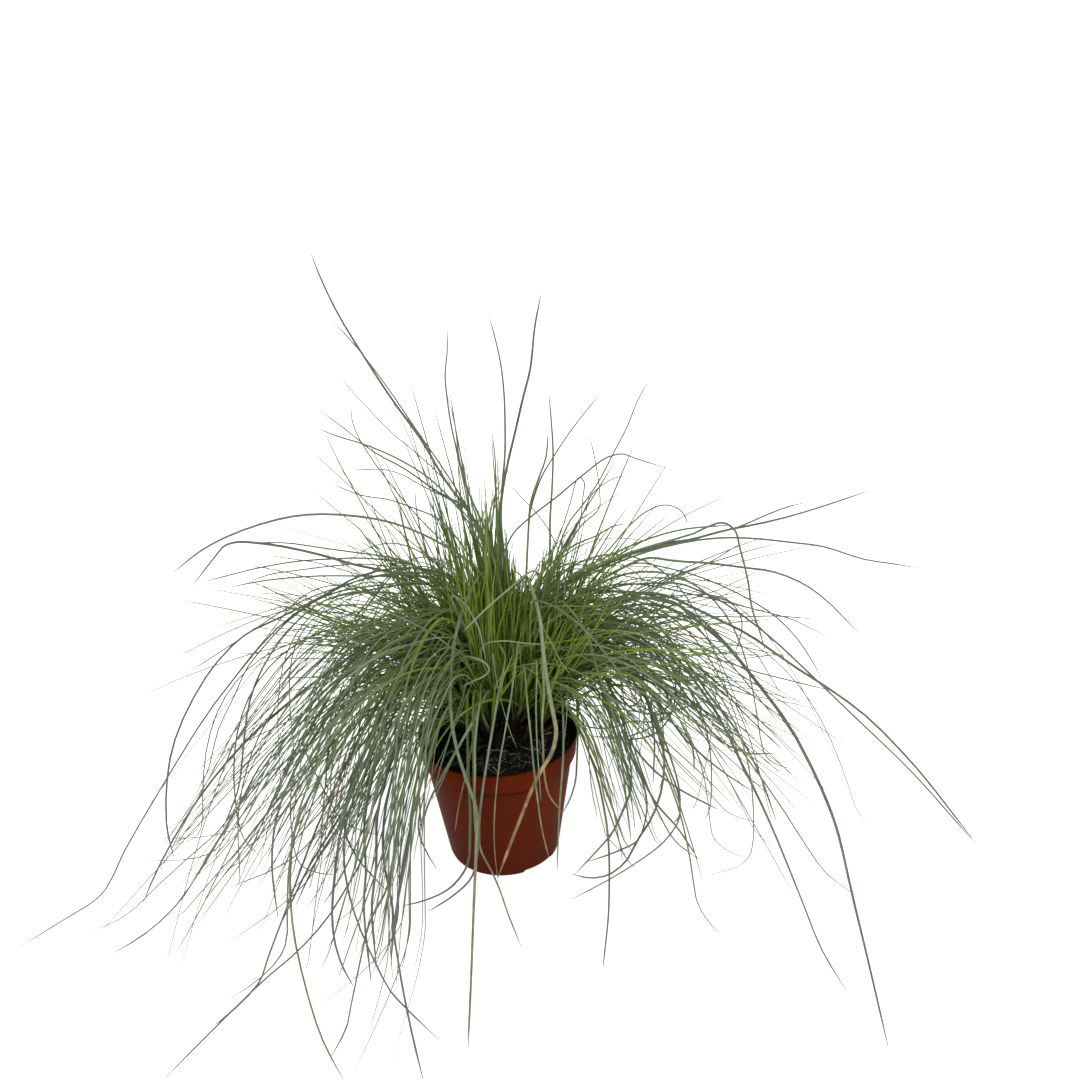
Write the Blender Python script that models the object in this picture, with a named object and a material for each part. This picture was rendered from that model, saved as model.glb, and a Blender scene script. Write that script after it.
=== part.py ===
"""Potted blue fescue clump: nursery pot, potting compost, crown and grass shoots.

Metres, +Z up. The origin is the centre of the pot's base, and the clump's open side faces -Y.
"""

import math

import bmesh
import bpy
import numpy as np
from mathutils import Matrix, Vector

MM = 0.001
GAP = 0.3 * MM

# Nursery pot: thin injection-moulded wall, a wide rim band and a foot ring with three notches
RIM_RADIUS = 52.5 * MM
POT_HEIGHT = 91 * MM
BAND_HEIGHT = 15.5 * MM
BAND_DRAFT = 1.4 * MM
BAND_STEP = 2.3 * MM
BODY_TOP_RADIUS = RIM_RADIUS - BAND_DRAFT - BAND_STEP
BASE_RADIUS = 37.5 * MM
BASE_CORNER = 4 * MM
WALL = 1.2 * MM
FOOT_HEIGHT = 3 * MM
FOOT_WIDTH = 3.5 * MM
BASE_DISC_RADIUS = 14 * MM
POT_SIDES = 32
DRAIN_HOLES = 6
DRAIN_RADIUS = 3.5 * MM
DRAIN_CIRCLE = 24 * MM
NOTCHES = 3
NOTCH_WIDTH = 24 * MM
FIRST_NOTCH = math.radians(-45)

# Potting compost: filled to just under the rim and mounded under the crown
COMPOST_EDGE = 85.5 * MM
COMPOST_SEAT = 93.3 * MM
SEAT_RADIUS = 41.5 * MM
COMPOST_LUMP = 0.8 * MM

# Crown: the low dome that the shoots grow from
CROWN_CENTRE = (3 * MM, 7 * MM)
CROWN_TOP = 106 * MM
CROWN_SPHERE = 50 * MM
CROWN_SIDES = 20
CROWN_RINGS = 4

# Shoots: a sheath that splits into three or four blades
SEED = 23
SHOOTS = 48
FULL_SHOOTS = 0.55
PATTERN_SIZE = 62
GOLDEN_ANGLE = math.radians(137.508)
OUTER_LEAN = math.radians(38)
SHEATH_RADIUS = 1.5 * MM
SHEATH_LENGTH = (18 * MM, 42 * MM)
BLADE_RADIUS = 1.15 * MM
BLADE_RINGS = 7
TIP_SCALE = 0.3
CLEARANCE = 0.45 * MM
FLOOR_LIFT = 1.3 * MM
LANDING = 12 * MM
PATH_STEPS = 70
OPEN_SIDE = math.radians(-80)
OPEN_WIDTH = math.radians(27)

# Blades that stand out of the clump, each by its tip as seen round the pot:
# azimuth in degrees, reach and height in millimetres, lean where it leaves its sheath
# and curl towards the tip in degrees
LEADERS = [
    (142, 132, 392, 14, -34),
    (120, 32, 357, 8, -8),
    (62, 22, 364, 12, -14),
    (48, 62, 366, 4, 6),
    (150, 98, 323, 16, 0),
    (150, 120, 299, 22, 10),
    (150, 130, 269, 26, 0),
    (156, 126, 284, 24, 0),
    (140, 70, 340, 12, 0),
    (60, 40, 322, 8, 0),
    (100, 60, 300, 14, 0),
    (40, 142, 297, 32, -10),
    (35, 150, 240, 18, 15),
    (50, 120, 289, 24, 0),
    (20, 168, 262, 30, 0),
    (175, 200, 209, 16, 30),
    (172, 188, 200, 24, 40),
    (170, 215, 205, 34, 0),
    (176, 160, 198, 30, 0),
    (190, 222, 35, 18, 10),
    (196, 240, 12, 24, 0),
    (200, 264, 2, 28, 0),
    (195, 312, 2, 36, 0),
    (226, 272, 2, 34, 0),
    (244, 222, 2, 22, 0),
    (257, 208, 2, 30, 0),
    (253, 180, 2, 26, 0),
    (264, 184, 2, 32, 0),
    (296, 140, 2, 26, 0),
    (317, 291, 2, 22, 0),
    (323, 257, 4, 26, 0),
    (353, 314, 4, 32, 0),
    (348, 282, 70, 36, 0),
    (8, 290, 175, 40, 0),
    (10, 252, 232, 46, -24),
    (0, 234, 152, 30, 20),
    (2, 212, 121, 24, 10),
    (345, 197, 192, 40, 0),
    (350, 168, 176, 26, 60),
    (270, 66, 4, 20, 0),
    (262, 62, 30, 22, 0),
    (282, 70, 2, 18, 0),
    (288, 66, 40, 24, 0),
    (300, 84, 10, 22, 0),
    (236, 90, 20, 20, 0),
    (250, 74, 24, 18, 0),
]


def clear_scene():
    for thing in list(bpy.data.objects):
        bpy.data.objects.remove(thing, do_unlink=True)


def make_material(name, colour, roughness):
    """A Principled material; the colour is linear RGB."""
    material = bpy.data.materials.new(name)
    material.use_nodes = True
    shader = material.node_tree.nodes["Principled BSDF"]
    shader.inputs["Base Color"].default_value = (*colour, 1)
    shader.inputs["Roughness"].default_value = roughness
    material.diffuse_color = (*colour, 1)
    return material


def make_object(name, bm, material, sharp_degrees=35):
    """Turn a finished bmesh into a named object with smooth shading."""
    bmesh.ops.recalc_face_normals(bm, faces=bm.faces[:])
    mesh = bpy.data.meshes.new(name)
    bm.to_mesh(mesh)
    bm.free()
    mesh.materials.append(material)
    mesh.shade_smooth()
    mesh.set_sharp_from_angle(angle=math.radians(sharp_degrees))
    piece = bpy.data.objects.new(name, mesh)
    bpy.context.collection.objects.link(piece)
    return piece


def turn_profile(bm, profile, sides):
    """Turn an open (radius, height) profile round Z and close its two ends with flat faces."""
    points = [bm.verts.new((r, 0, z)) for r, z in profile]
    edges = [bm.edges.new(pair) for pair in zip(points, points[1:])]
    bmesh.ops.spin(bm, geom=points + edges, cent=(0, 0, 0), axis=(0, 0, 1), angle=math.tau,
                   steps=sides, use_merge=True)
    bmesh.ops.holes_fill(bm, edges=bm.edges[:], sides=sides)


# Pot

def pot_profile():
    """Half section of the pot, from the disc under its base, out and up, then down the inside."""
    band_foot = POT_HEIGHT - BAND_HEIGHT
    corner_top = BASE_CORNER * 1.1
    slope = (BODY_TOP_RADIUS - BASE_RADIUS) / (band_foot - corner_top)
    floor = FOOT_HEIGHT + WALL
    return [
        (BASE_DISC_RADIUS, 0),
        (BASE_DISC_RADIUS + FOOT_HEIGHT / 2, FOOT_HEIGHT),
        (BASE_RADIUS - BASE_CORNER / 2 - FOOT_WIDTH, FOOT_HEIGHT),
        (BASE_RADIUS - BASE_CORNER / 2 - FOOT_WIDTH, 0),
        (BASE_RADIUS - BASE_CORNER / 2, 0),
        (BASE_RADIUS - BASE_CORNER / 6, BASE_CORNER * 0.4),
        (BASE_RADIUS, corner_top),
        (BODY_TOP_RADIUS, band_foot),
        (BODY_TOP_RADIUS + BAND_STEP, band_foot + WALL / 2),
        (RIM_RADIUS, POT_HEIGHT),
        (RIM_RADIUS - WALL, POT_HEIGHT),
        (BODY_TOP_RADIUS + BAND_STEP - WALL, band_foot + 1.8 * WALL),
        (BODY_TOP_RADIUS - WALL, band_foot + WALL),
        (BASE_RADIUS + slope * (floor - corner_top) - WALL, floor),
    ]


def make_cutter(name, bm):
    """A shape that is taken out of the pot and isn't a piece of its own."""
    mesh = bpy.data.meshes.new(name)
    bmesh.ops.recalc_face_normals(bm, faces=bm.faces[:])
    bm.to_mesh(mesh)
    bm.free()
    cutter = bpy.data.objects.new(name, mesh)
    bpy.context.collection.objects.link(cutter)
    cutter.hide_render = True
    cutter.display_type = "WIRE"
    return cutter


def drain_cutter():
    """Six round drain holes in the raised part of the base."""
    bm = bmesh.new()
    for k in range(DRAIN_HOLES):
        around = Matrix.Rotation(math.tau * (k + 0.5) / DRAIN_HOLES, 4, "Z")
        out = Matrix.Translation((DRAIN_CIRCLE, 0, FOOT_HEIGHT))
        bmesh.ops.create_cone(bm, cap_ends=True, cap_tris=False, segments=8, radius1=DRAIN_RADIUS,
                              radius2=DRAIN_RADIUS, depth=4 * WALL, matrix=around @ out)
    return make_cutter("drain_cutter", bm)


def notch_cutter():
    """Three notches that let water out from under the foot ring."""
    bm = bmesh.new()
    height = FOOT_HEIGHT - GAP / 2
    depth = 3 * FOOT_WIDTH
    for k in range(NOTCHES):
        around = Matrix.Rotation(FIRST_NOTCH + math.tau * k / NOTCHES, 4, "Z")
        out = Matrix.Translation((BASE_RADIUS - FOOT_WIDTH / 2, 0, 0))
        size = Matrix.Diagonal((depth, NOTCH_WIDTH, 2 * height, 1))
        bmesh.ops.create_cube(bm, size=1, matrix=around @ out @ size)
    return make_cutter("notch_cutter", bm)


def make_pot():
    bm = bmesh.new()
    turn_profile(bm, pot_profile(), POT_SIDES)
    material = make_material("terracotta polypropylene", (0.25, 0.045, 0.02), 0.45)
    pot = make_object("pot", bm, material)
    for cutter in (drain_cutter(), notch_cutter()):
        cut = pot.modifiers.new(cutter.name, "BOOLEAN")
        cut.operation = "DIFFERENCE"
        cut.solver = "EXACT"
        cut.object = cutter


# Compost

def compost_profile():
    """Half section of the compost, from under its middle, out along the pot's inside and up."""
    inside = pot_profile()[::-1]
    shoulder = [(r - GAP, z) for r, z in inside[1:3]]
    draft = BAND_DRAFT / BAND_HEIGHT
    edge = RIM_RADIUS - WALL - draft * (POT_HEIGHT - COMPOST_EDGE) - GAP
    return [
        (BASE_DISC_RADIUS, inside[0][1] + GAP),
        (inside[0][0] - GAP, inside[0][1] + GAP),
        (shoulder[0][0], shoulder[0][1] + GAP),
        (shoulder[1][0], shoulder[1][1] + GAP),
        (edge, COMPOST_EDGE),
        ((edge + SEAT_RADIUS) / 2 + MM, COMPOST_SEAT - 2.8 * MM),
        (SEAT_RADIUS, COMPOST_SEAT),
    ]


def make_compost():
    bm = bmesh.new()
    profile = compost_profile()
    turn_profile(bm, profile, POT_SIDES)
    rng = np.random.default_rng(SEED)
    shoulder_height = profile[-2][1]
    for vert in bm.verts:
        if abs(vert.co.z - shoulder_height) < GAP / 10:
            vert.co.z += rng.uniform(-1, 1) * COMPOST_LUMP
    make_object("compost", bm, make_material("black peat compost", (0.02, 0.015, 0.01), 0.95), 50)


# Crown

def make_crown():
    """A dome of the crown sphere, cut flat just above the compost."""
    bm = bmesh.new()
    bottom = COMPOST_SEAT + GAP
    centre = CROWN_TOP - CROWN_SPHERE
    widest = math.acos((bottom - centre) / CROWN_SPHERE)
    angles = [widest * k / CROWN_RINGS for k in range(CROWN_RINGS, 0, -1)]
    profile = [(CROWN_SPHERE * math.sin(a), centre + CROWN_SPHERE * math.cos(a)) for a in angles]
    turn_profile(bm, profile, CROWN_SIDES)
    bmesh.ops.translate(bm, verts=bm.verts[:], vec=(*CROWN_CENTRE, 0))
    make_object("crown", bm, make_material("old fescue crown", (0.09, 0.06, 0.03), 0.9), 50)


# Growth of the shoots

def radial(azimuth):
    return np.array([math.cos(azimuth), math.sin(azimuth), 0.0])


def towards(azimuth, lean):
    """Unit vector that leans from the vertical towards an azimuth."""
    return math.sin(lean) * radial(azimuth) + np.array([0, 0, math.cos(lean)])


def openness(azimuth):
    """How far an azimuth lies in the clump's open side: 1 in its middle, 0 away from it."""
    off = (azimuth - OPEN_SIDE + math.pi) % math.tau - math.pi
    return math.exp(-(off / OPEN_WIDTH) ** 2)


def backness(azimuth):
    off = (azimuth - math.pi / 2 + math.pi) % math.tau - math.pi
    return math.exp(-(off / math.radians(50)) ** 2)


def tilt_along(lean, droop, curl, u):
    """Angle from the vertical along a blade: it bends over soon after the sheath, then hangs."""
    return lean + droop * (1 - (1 - u ** 1.4) ** 3.4) + curl * u ** 4


def blade_path(root, azimuth, sweep, lean, droop, curl, length):
    """Points along a blade; where it comes down to the floor it runs out along it."""
    u = (np.arange(PATH_STEPS) + 0.5) / PATH_STEPS
    tilt = tilt_along(lean, droop, curl, u)
    heading = azimuth + sweep * (u - 0.5)
    step = length / PATH_STEPS
    points = [np.array(root)]
    for k in range(PATH_STEPS):
        here = points[-1]
        steepest = -(here[2] - FLOOR_LIFT) / LANDING
        rise = max(math.cos(tilt[k]), min(steepest, 0.999))
        run = math.copysign(math.sqrt(max(0.0, 1 - rise * rise)), math.sin(tilt[k]))
        points.append(here + step * (run * radial(heading[k]) + np.array([0, 0, rise])))
    return np.array(points)


def reach_tip(root, tip, lean, curl):
    """Droop and length that carry a blade from its root to its tip."""
    u = (np.arange(PATH_STEPS) + 0.5) / PATH_STEPS
    across = math.hypot(tip[0] - root[0], tip[1] - root[1])
    wanted = math.atan2(across, tip[2] - root[2])
    low = math.radians(-120)
    high = math.radians(230)
    for _ in range(40):
        droop = (low + high) / 2
        tilt = tilt_along(lean, droop, curl, u)
        run = np.sin(tilt).mean()
        rise = np.cos(tilt).mean()
        if math.atan2(run, rise) < wanted:
            low = droop
        else:
            high = droop
    length = math.hypot(across, tip[2] - root[2]) / math.hypot(run, rise)
    return droop, length


def ring_places(points):
    """Places of a blade's rings: close together where it bends, far apart where it is straight."""
    steps = np.diff(points, axis=0)
    lengths = np.linalg.norm(steps, axis=1)
    ways = steps / lengths[:, None]
    turns = np.arccos(np.clip((ways[1:] * ways[:-1]).sum(axis=1), -1, 1))
    measure = lengths / lengths.sum()
    measure[1:] += 0.8 * turns / max(turns.sum(), 1e-6)
    total = np.concatenate([[0], np.cumsum(measure)])
    index = np.arange(len(points))
    along = np.interp(np.linspace(0, total[-1], BLADE_RINGS + 1), total, index)
    return np.stack([np.interp(along, index, points[:, k]) for k in range(3)], axis=1)


def segment_distances(start, end, starts, ends):
    """Least distances from one segment to each of many others."""
    way = end - start
    ways = ends - starts
    offset = start - starts
    a = way @ way
    e = (ways * ways).sum(axis=1)
    f = (ways * offset).sum(axis=1)
    c = offset @ way
    b = ways @ way
    spread = np.maximum(a * e - b * b, 1e-18)
    s = np.clip((b * f - c * e) / spread, 0, 1)
    t = np.clip((b * s + f) / e, 0, 1)
    s = np.clip((b * t - c) / a, 0, 1)
    t = np.clip((b * s + f) / e, 0, 1)
    apart = start + s[:, None] * way - starts - t[:, None] * ways
    return np.linalg.norm(apart, axis=1)


class Thicket:
    """Everything that has grown so far, as segments with a radius."""

    def __init__(self):
        self.starts = np.zeros((0, 3))
        self.ends = np.zeros((0, 3))
        self.radii = np.zeros(0)

    def is_free(self, line, radii):
        for k in range(len(line) - 1):
            room = self.radii + radii[k] + CLEARANCE
            if (segment_distances(line[k], line[k + 1], self.starts, self.ends) < room).any():
                return False
        return True

    def add(self, line, radii):
        self.starts = np.vstack([self.starts, line[:-1]])
        self.ends = np.vstack([self.ends, line[1:]])
        self.radii = np.concatenate([self.radii, radii[:-1]])


def meets_pot(line):
    """Whether a line runs into the pot, the compost or the crown."""
    margin = 2 * MM
    for start, end in zip(line, line[1:]):
        for share in np.linspace(0, 1, 6):
            x, y, z = start + share * (end - start)
            across = math.hypot(x, y)
            dome = max(0.0, 1 - (across / SEAT_RADIUS) ** 2)
            top = POT_HEIGHT + margin + (CROWN_TOP - POT_HEIGHT) * dome
            if across < RIM_RADIUS + margin and z < top + margin / 2:
                return True
    return False


def plant_shoots(rng):
    """Stand the sheaths on the crown in a sunflower pattern, with few on the open side."""
    centre = np.array([*CROWN_CENTRE, CROWN_TOP - CROWN_SPHERE])
    shoots = []
    n = 0
    while len(shoots) < SHOOTS:
        lean = OUTER_LEAN * min(math.sqrt((n + 0.5) / PATTERN_SIZE), 1.02)
        azimuth = (n * GOLDEN_ANGLE + 0.3) % math.tau
        n += 1
        share = 1 - 0.85 * openness(azimuth) * min(1, lean / math.radians(20))
        if rng.random() > share:
            continue
        axis = towards(azimuth, lean)
        base = centre + (CROWN_SPHERE + GAP) * axis
        length = rng.uniform(*SHEATH_LENGTH) * (1.1 - 0.45 * lean)
        blades = 4 if rng.random() < FULL_SHOOTS else 3
        shoots.append({"azimuth": azimuth, "lean": lean, "axis": axis, "base": base,
                       "top": base + length * axis, "room": blades, "lines": []})
    return shoots


def place_blade(shoot, draw, thicket):
    """Grow a blade on a shoot if it stays clear of everything that is there already."""
    line = ring_places(blade_path(shoot["top"], *draw))
    radii = BLADE_RADIUS * np.linspace(1, TIP_SCALE, len(line))
    if meets_pot(line[1:]):
        return False
    probe = line.copy()
    probe[0] = line[0] + 0.35 * (line[1] - line[0])
    if not thicket.is_free(probe, radii):
        return False
    for other in shoot["lines"]:
        for k in range(1, len(line) - 1):
            apart = segment_distances(line[k], line[k + 1], other[1:-1], other[2:])
            if (apart < 2 * BLADE_RADIUS + CLEARANCE).any():
                return False
    shoot["lines"].append(line)
    thicket.add(probe, radii)
    return True


def place_leader(shoots, leader, thicket):
    """Grow a leader on the shoot that points most nearly its way."""
    azimuth, reach, height, lean, curl = leader
    lean = math.radians(lean)
    curl = math.radians(curl)
    tip = reach * MM * radial(math.radians(azimuth)) + np.array([0, 0, height * MM])
    way = towards(math.radians(azimuth), lean)

    def misfit(shoot):
        return math.acos(min(1, way @ shoot["axis"])) + 0.35 * len(shoot["lines"])

    for shoot in sorted(shoots, key=misfit):
        if len(shoot["lines"]) < shoot["room"]:
            root = shoot["top"]
            droop, length = reach_tip(root, tip, lean, curl)
            heading = math.atan2(tip[1] - root[1], tip[0] - root[0])
            if place_blade(shoot, (heading, 0.0, lean, droop, curl, length), thicket):
                return


def draw_blade(shoot, rng):
    """Draw a blade that suits its shoot: upright near the middle, hanging round the outside."""
    lean = math.degrees(shoot["lean"])
    azimuth = shoot["azimuth"] + math.radians(rng.normal(0, 14 + 70 * math.exp(-lean / 9)))
    if rng.random() < 0.8 * openness(azimuth):
        azimuth += math.radians(rng.choice([-1, 1]) * rng.uniform(30, 75))
    back = backness(azimuth)
    upright = (0.7 + 0.6 * back) * np.interp(lean, [8, 16, 26, 36], [0.6, 0.28, 0.12, 0.06])
    skirt = np.interp(lean, [20, 34], [0.04, 0.34])
    kind = rng.random()
    if kind < upright:
        start = rng.uniform(0, 12) + 0.5 * lean
        end = start + rng.uniform(0, 45)
        length = rng.uniform(90, 165) * (1 + 0.5 * back * rng.random())
    elif kind < upright + skirt:
        start = rng.uniform(28, 62)
        end = rng.uniform(158, 179)
        length = rng.uniform(110, 240)
    elif kind < upright + skirt + 0.16:
        start = lean * rng.uniform(0.5, 1.0) + rng.uniform(0, 12)
        end = rng.uniform(95, 130)
        length = rng.uniform(160, 260)
    else:
        start = lean * rng.uniform(0.2, 0.75) + rng.uniform(0, 9)
        end = rng.uniform(146, 179)
        length = rng.uniform(180, 335)
    length *= 1 - 0.18 * back
    sweep = math.radians(rng.normal(0, 30))
    curl = math.radians(rng.normal(0, 8))
    return azimuth, sweep, math.radians(start), math.radians(end - start), curl, length * MM


def grow():
    """Plant the shoots, then grow their leaders and the rest of their blades."""
    rng = np.random.default_rng(SEED)
    thicket = Thicket()
    shoots = plant_shoots(rng)
    for shoot in shoots:
        thicket.add(np.array([shoot["base"], shoot["top"]]), np.array([SHEATH_RADIUS, SHEATH_RADIUS]))
    for leader in LEADERS:
        place_leader(shoots, leader, thicket)
    for shoot in shoots:
        tries = 0
        while len(shoot["lines"]) < shoot["room"] and tries < 400:
            place_blade(shoot, draw_blade(shoot, rng), thicket)
            tries += 1
    return shoots


# Shoots as solids

def ring_frames(line, across):
    """A pair of cross directions at each ring, carried along the blade without twist."""
    ways = [Vector(b - a).normalized() for a, b in zip(line, line[1:])]
    tangents = [ways[0]] + [(a + b).normalized() for a, b in zip(ways, ways[1:])] + [ways[-1]]
    frames = []
    for tangent in tangents:
        across = (across - across.dot(tangent) * tangent).normalized()
        frames.append((across, tangent.cross(across)))
    return frames


def fit_turn(angles, count):
    """Turn of the sheath at which its sectors face the blades that leave from them."""
    pull = sum(
        (Vector((math.cos(a), math.sin(a))) @ Matrix.Rotation(math.tau * (k + 0.5) / count, 2)
         for k, a in enumerate(angles)), Vector((0, 0)))
    return math.atan2(pull.y, pull.x)


def make_shoot(name, shoot, material):
    """Extrude a sheath, split its top into sectors and draw each sector out into a blade."""
    axis = Vector(shoot["axis"])
    side = axis.orthogonal().normalized()
    other = axis.cross(side)
    count = len(shoot["lines"])

    def bearing(line):
        way = Vector(line[1] - line[0])
        return math.atan2(way.dot(other), way.dot(side)) % math.tau

    lines = sorted(shoot["lines"], key=bearing)
    turn = fit_turn([bearing(line) for line in lines], count)
    place = Matrix((side, other, axis)).transposed().to_4x4()
    place.translation = Vector(shoot["base"])
    bm = bmesh.new()
    bmesh.ops.create_circle(bm, cap_ends=True, segments=count, radius=SHEATH_RADIUS,
                            matrix=place @ Matrix.Rotation(turn, 4, "Z"))
    grown = bmesh.ops.extrude_face_region(bm, geom=bm.faces[:])["geom"]
    top_verts = [g for g in grown if isinstance(g, bmesh.types.BMVert)]
    top_face = [g for g in grown if isinstance(g, bmesh.types.BMFace)]
    bmesh.ops.translate(bm, verts=top_verts, vec=Vector(shoot["top"] - shoot["base"]))
    tips = bmesh.ops.poke(bm, faces=top_face)["faces"]

    blades = []
    for face in tips:
        middle = face.calc_center_median() - Vector(shoot["top"])
        angle = math.atan2(middle.dot(other), middle.dot(side)) - turn
        line = lines[int(angle % math.tau / math.tau * count)]
        start = Vector(shoot["top"]) + middle
        offsets = [((v.co - start).dot(side), (v.co - start).dot(other)) for v in face.verts]
        blades.append((line, ring_frames(line, side), offsets))

    for ring in range(1, BLADE_RINGS + 1):
        tips = bmesh.ops.extrude_discrete_faces(bm, faces=tips)["faces"]
        taper = 1 + (TIP_SCALE - 1) * ring / BLADE_RINGS
        for face, (line, frames, offsets) in zip(tips, blades):
            along, beside = frames[ring]
            for vert, (a, b) in zip(face.verts, offsets):
                vert.co = Vector(line[ring]) + taper * (a * along + b * beside)
    make_object(name, bm, material, 75)


def main():
    clear_scene()
    make_pot()
    make_compost()
    make_crown()
    blade_green = make_material("fescue blade", (0.10, 0.15, 0.06), 0.5)
    for k, shoot in enumerate(grow()):
        make_shoot(f"tiller_{k + 1:02d}", shoot, blade_green)


main()
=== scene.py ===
"""Looks of the potted blue fescue clump: a moulded nursery pot, moist peat and some 1,650 blades.

Metres, +Z up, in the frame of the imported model. The clump's open side faces -Y, towards the camera.
"""

import math
from collections import namedtuple

import bmesh
import bpy
import numpy as np
from mathutils import Matrix, Vector, noise

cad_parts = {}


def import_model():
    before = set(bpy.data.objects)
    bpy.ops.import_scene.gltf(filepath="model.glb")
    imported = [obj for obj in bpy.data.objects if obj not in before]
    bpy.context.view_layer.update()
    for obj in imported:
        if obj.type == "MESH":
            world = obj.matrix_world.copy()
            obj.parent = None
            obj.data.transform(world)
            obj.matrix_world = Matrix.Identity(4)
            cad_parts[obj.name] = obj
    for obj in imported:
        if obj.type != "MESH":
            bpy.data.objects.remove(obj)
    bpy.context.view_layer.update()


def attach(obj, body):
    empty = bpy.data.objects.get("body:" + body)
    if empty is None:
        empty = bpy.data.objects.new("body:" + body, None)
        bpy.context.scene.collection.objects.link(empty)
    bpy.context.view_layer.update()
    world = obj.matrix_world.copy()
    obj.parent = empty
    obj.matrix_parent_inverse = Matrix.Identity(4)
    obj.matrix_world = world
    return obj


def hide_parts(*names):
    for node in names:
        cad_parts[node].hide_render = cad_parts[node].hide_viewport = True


MM = 0.001
GAP = 0.3 * MM

# Nursery pot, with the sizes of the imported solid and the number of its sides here
RIM_RADIUS = 52.5 * MM
POT_HEIGHT = 91 * MM
BAND_HEIGHT = 15.5 * MM
BAND_DRAFT = 1.4 * MM
BAND_STEP = 2.3 * MM
BODY_TOP_RADIUS = RIM_RADIUS - BAND_DRAFT - BAND_STEP
BASE_RADIUS = 37.5 * MM
BASE_CORNER = 4 * MM
WALL = 1.2 * MM
FOOT_HEIGHT = 3 * MM
FOOT_WIDTH = 3.5 * MM
BASE_DISC_RADIUS = 14 * MM
DRAIN_HOLES = 6
DRAIN_RADIUS = 3.5 * MM
DRAIN_CIRCLE = 24 * MM
NOTCHES = 3
NOTCH_WIDTH = 24 * MM
FIRST_NOTCH = math.radians(-50)
EDGE_ROUNDING = 0.42 * MM
NOTCH_ROUNDING = 1.2 * MM
POT_SIDES = 144

# Peat and crown, how finely they are turned, and how much lies on them
COMPOST_EDGE = 85.5 * MM
COMPOST_SEAT = 93.3 * MM
SEAT_RADIUS = 41.5 * MM
CROWN_CENTRE = (3 * MM, 7 * MM)
CROWN_TOP = 106 * MM
CROWN_SPHERE = 50 * MM
PEAT_SIDES = 300
PEAT_RINGS = 76
CROWN_SIDES = 160
CROWN_RINGS = 40
CRUMBS = 520
ROOTLETS = 260
THATCH_LEAVES = 420

# Camera, as the photograph was taken
FRAME_PIXELS = 1080
FOCAL_PIXELS = 1350
CAMERA_PLACE = (33.5 * MM, -752 * MM, 581.9 * MM)
CAMERA_PITCH = math.radians(25.2)
CAMERA_ROLL = math.radians(-2.6)

# Shoots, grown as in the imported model
SEED = 23
SHOOTS = 48
FULL_SHOOTS = 0.55
PATTERN_SIZE = 62
GOLDEN_ANGLE = math.radians(137.508)
OUTER_LEAN = math.radians(38)
SHEATH_RADIUS = 1.5 * MM
SHEATH_LENGTH = (18 * MM, 42 * MM)
BLADE_RADIUS = 1.15 * MM
BLADE_RINGS = 7
TIP_SCALE = 0.3
CLEARANCE = 0.45 * MM
FLOOR_LIFT = 1.3 * MM
LANDING = 12 * MM
PATH_STEPS = 70
MID_STEPS = (np.arange(PATH_STEPS) + 0.5) / PATH_STEPS
TRIES = 400

# The clump's open side and its back, as azimuths and how far round each one reaches
OPEN_SIDE = math.radians(-80)
OPEN_WIDTH = math.radians(27)
BACK_SIDE = math.radians(90)
BACK_WIDTH = math.radians(50)

# How deep in the crown a blade is rooted, and for what share of its first ring spacing a main
# blade is still one with its sheath
ROOT_DEPTH = 2 * MM
SPLIT_SHARE = 0.35

# By what angle each blade that a shoot already has makes it fit a leader or a traced blade less
LEADER_CROWDING = 0.35
TRACED_CROWDING = 0.08

# Rings along a blade: how much its bends count beside its length, and the least step and turn
BEND_SHARE = 0.8
SHORTEST_STEP = 1e-4 * MM
LEAST_TURN = 1e-6

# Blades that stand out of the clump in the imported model, each by its tip as seen round the pot:
# azimuth in degrees, reach and height in millimetres, lean where it leaves its sheath
# and curl towards the tip in degrees. Here the traced blades below are drawn in their place.
LEADERS = [
    (142, 132, 392, 14, -34),
    (120, 32, 357, 8, -8),
    (62, 22, 364, 12, -14),
    (48, 62, 366, 4, 6),
    (150, 98, 323, 16, 0),
    (150, 120, 299, 22, 10),
    (150, 130, 269, 26, 0),
    (156, 126, 284, 24, 0),
    (140, 70, 340, 12, 0),
    (60, 40, 322, 8, 0),
    (100, 60, 300, 14, 0),
    (40, 142, 297, 32, -10),
    (35, 150, 240, 18, 15),
    (50, 120, 289, 24, 0),
    (20, 168, 262, 30, 0),
    (175, 200, 209, 16, 30),
    (172, 188, 200, 24, 40),
    (170, 215, 205, 34, 0),
    (176, 160, 198, 30, 0),
    (190, 222, 35, 18, 10),
    (196, 240, 12, 24, 0),
    (200, 264, 2, 28, 0),
    (195, 312, 2, 36, 0),
    (226, 272, 2, 34, 0),
    (244, 222, 2, 22, 0),
    (257, 208, 2, 30, 0),
    (253, 180, 2, 26, 0),
    (264, 184, 2, 32, 0),
    (296, 140, 2, 26, 0),
    (317, 291, 2, 22, 0),
    (323, 257, 4, 26, 0),
    (353, 314, 4, 32, 0),
    (348, 282, 70, 36, 0),
    (8, 290, 175, 40, 0),
    (10, 252, 232, 46, -24),
    (0, 234, 152, 30, 20),
    (2, 212, 121, 24, 10),
    (345, 197, 192, 40, 0),
    (350, 168, 176, 26, 60),
    (270, 66, 4, 20, 0),
    (262, 62, 30, 22, 0),
    (282, 70, 2, 18, 0),
    (288, 66, 40, 24, 0),
    (300, 84, 10, 22, 0),
    (236, 90, 20, 20, 0),
    (250, 74, 24, 18, 0),
]

Family = namedtuple("Family", "tufts blades heads spread lean tip length bend young")

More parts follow.
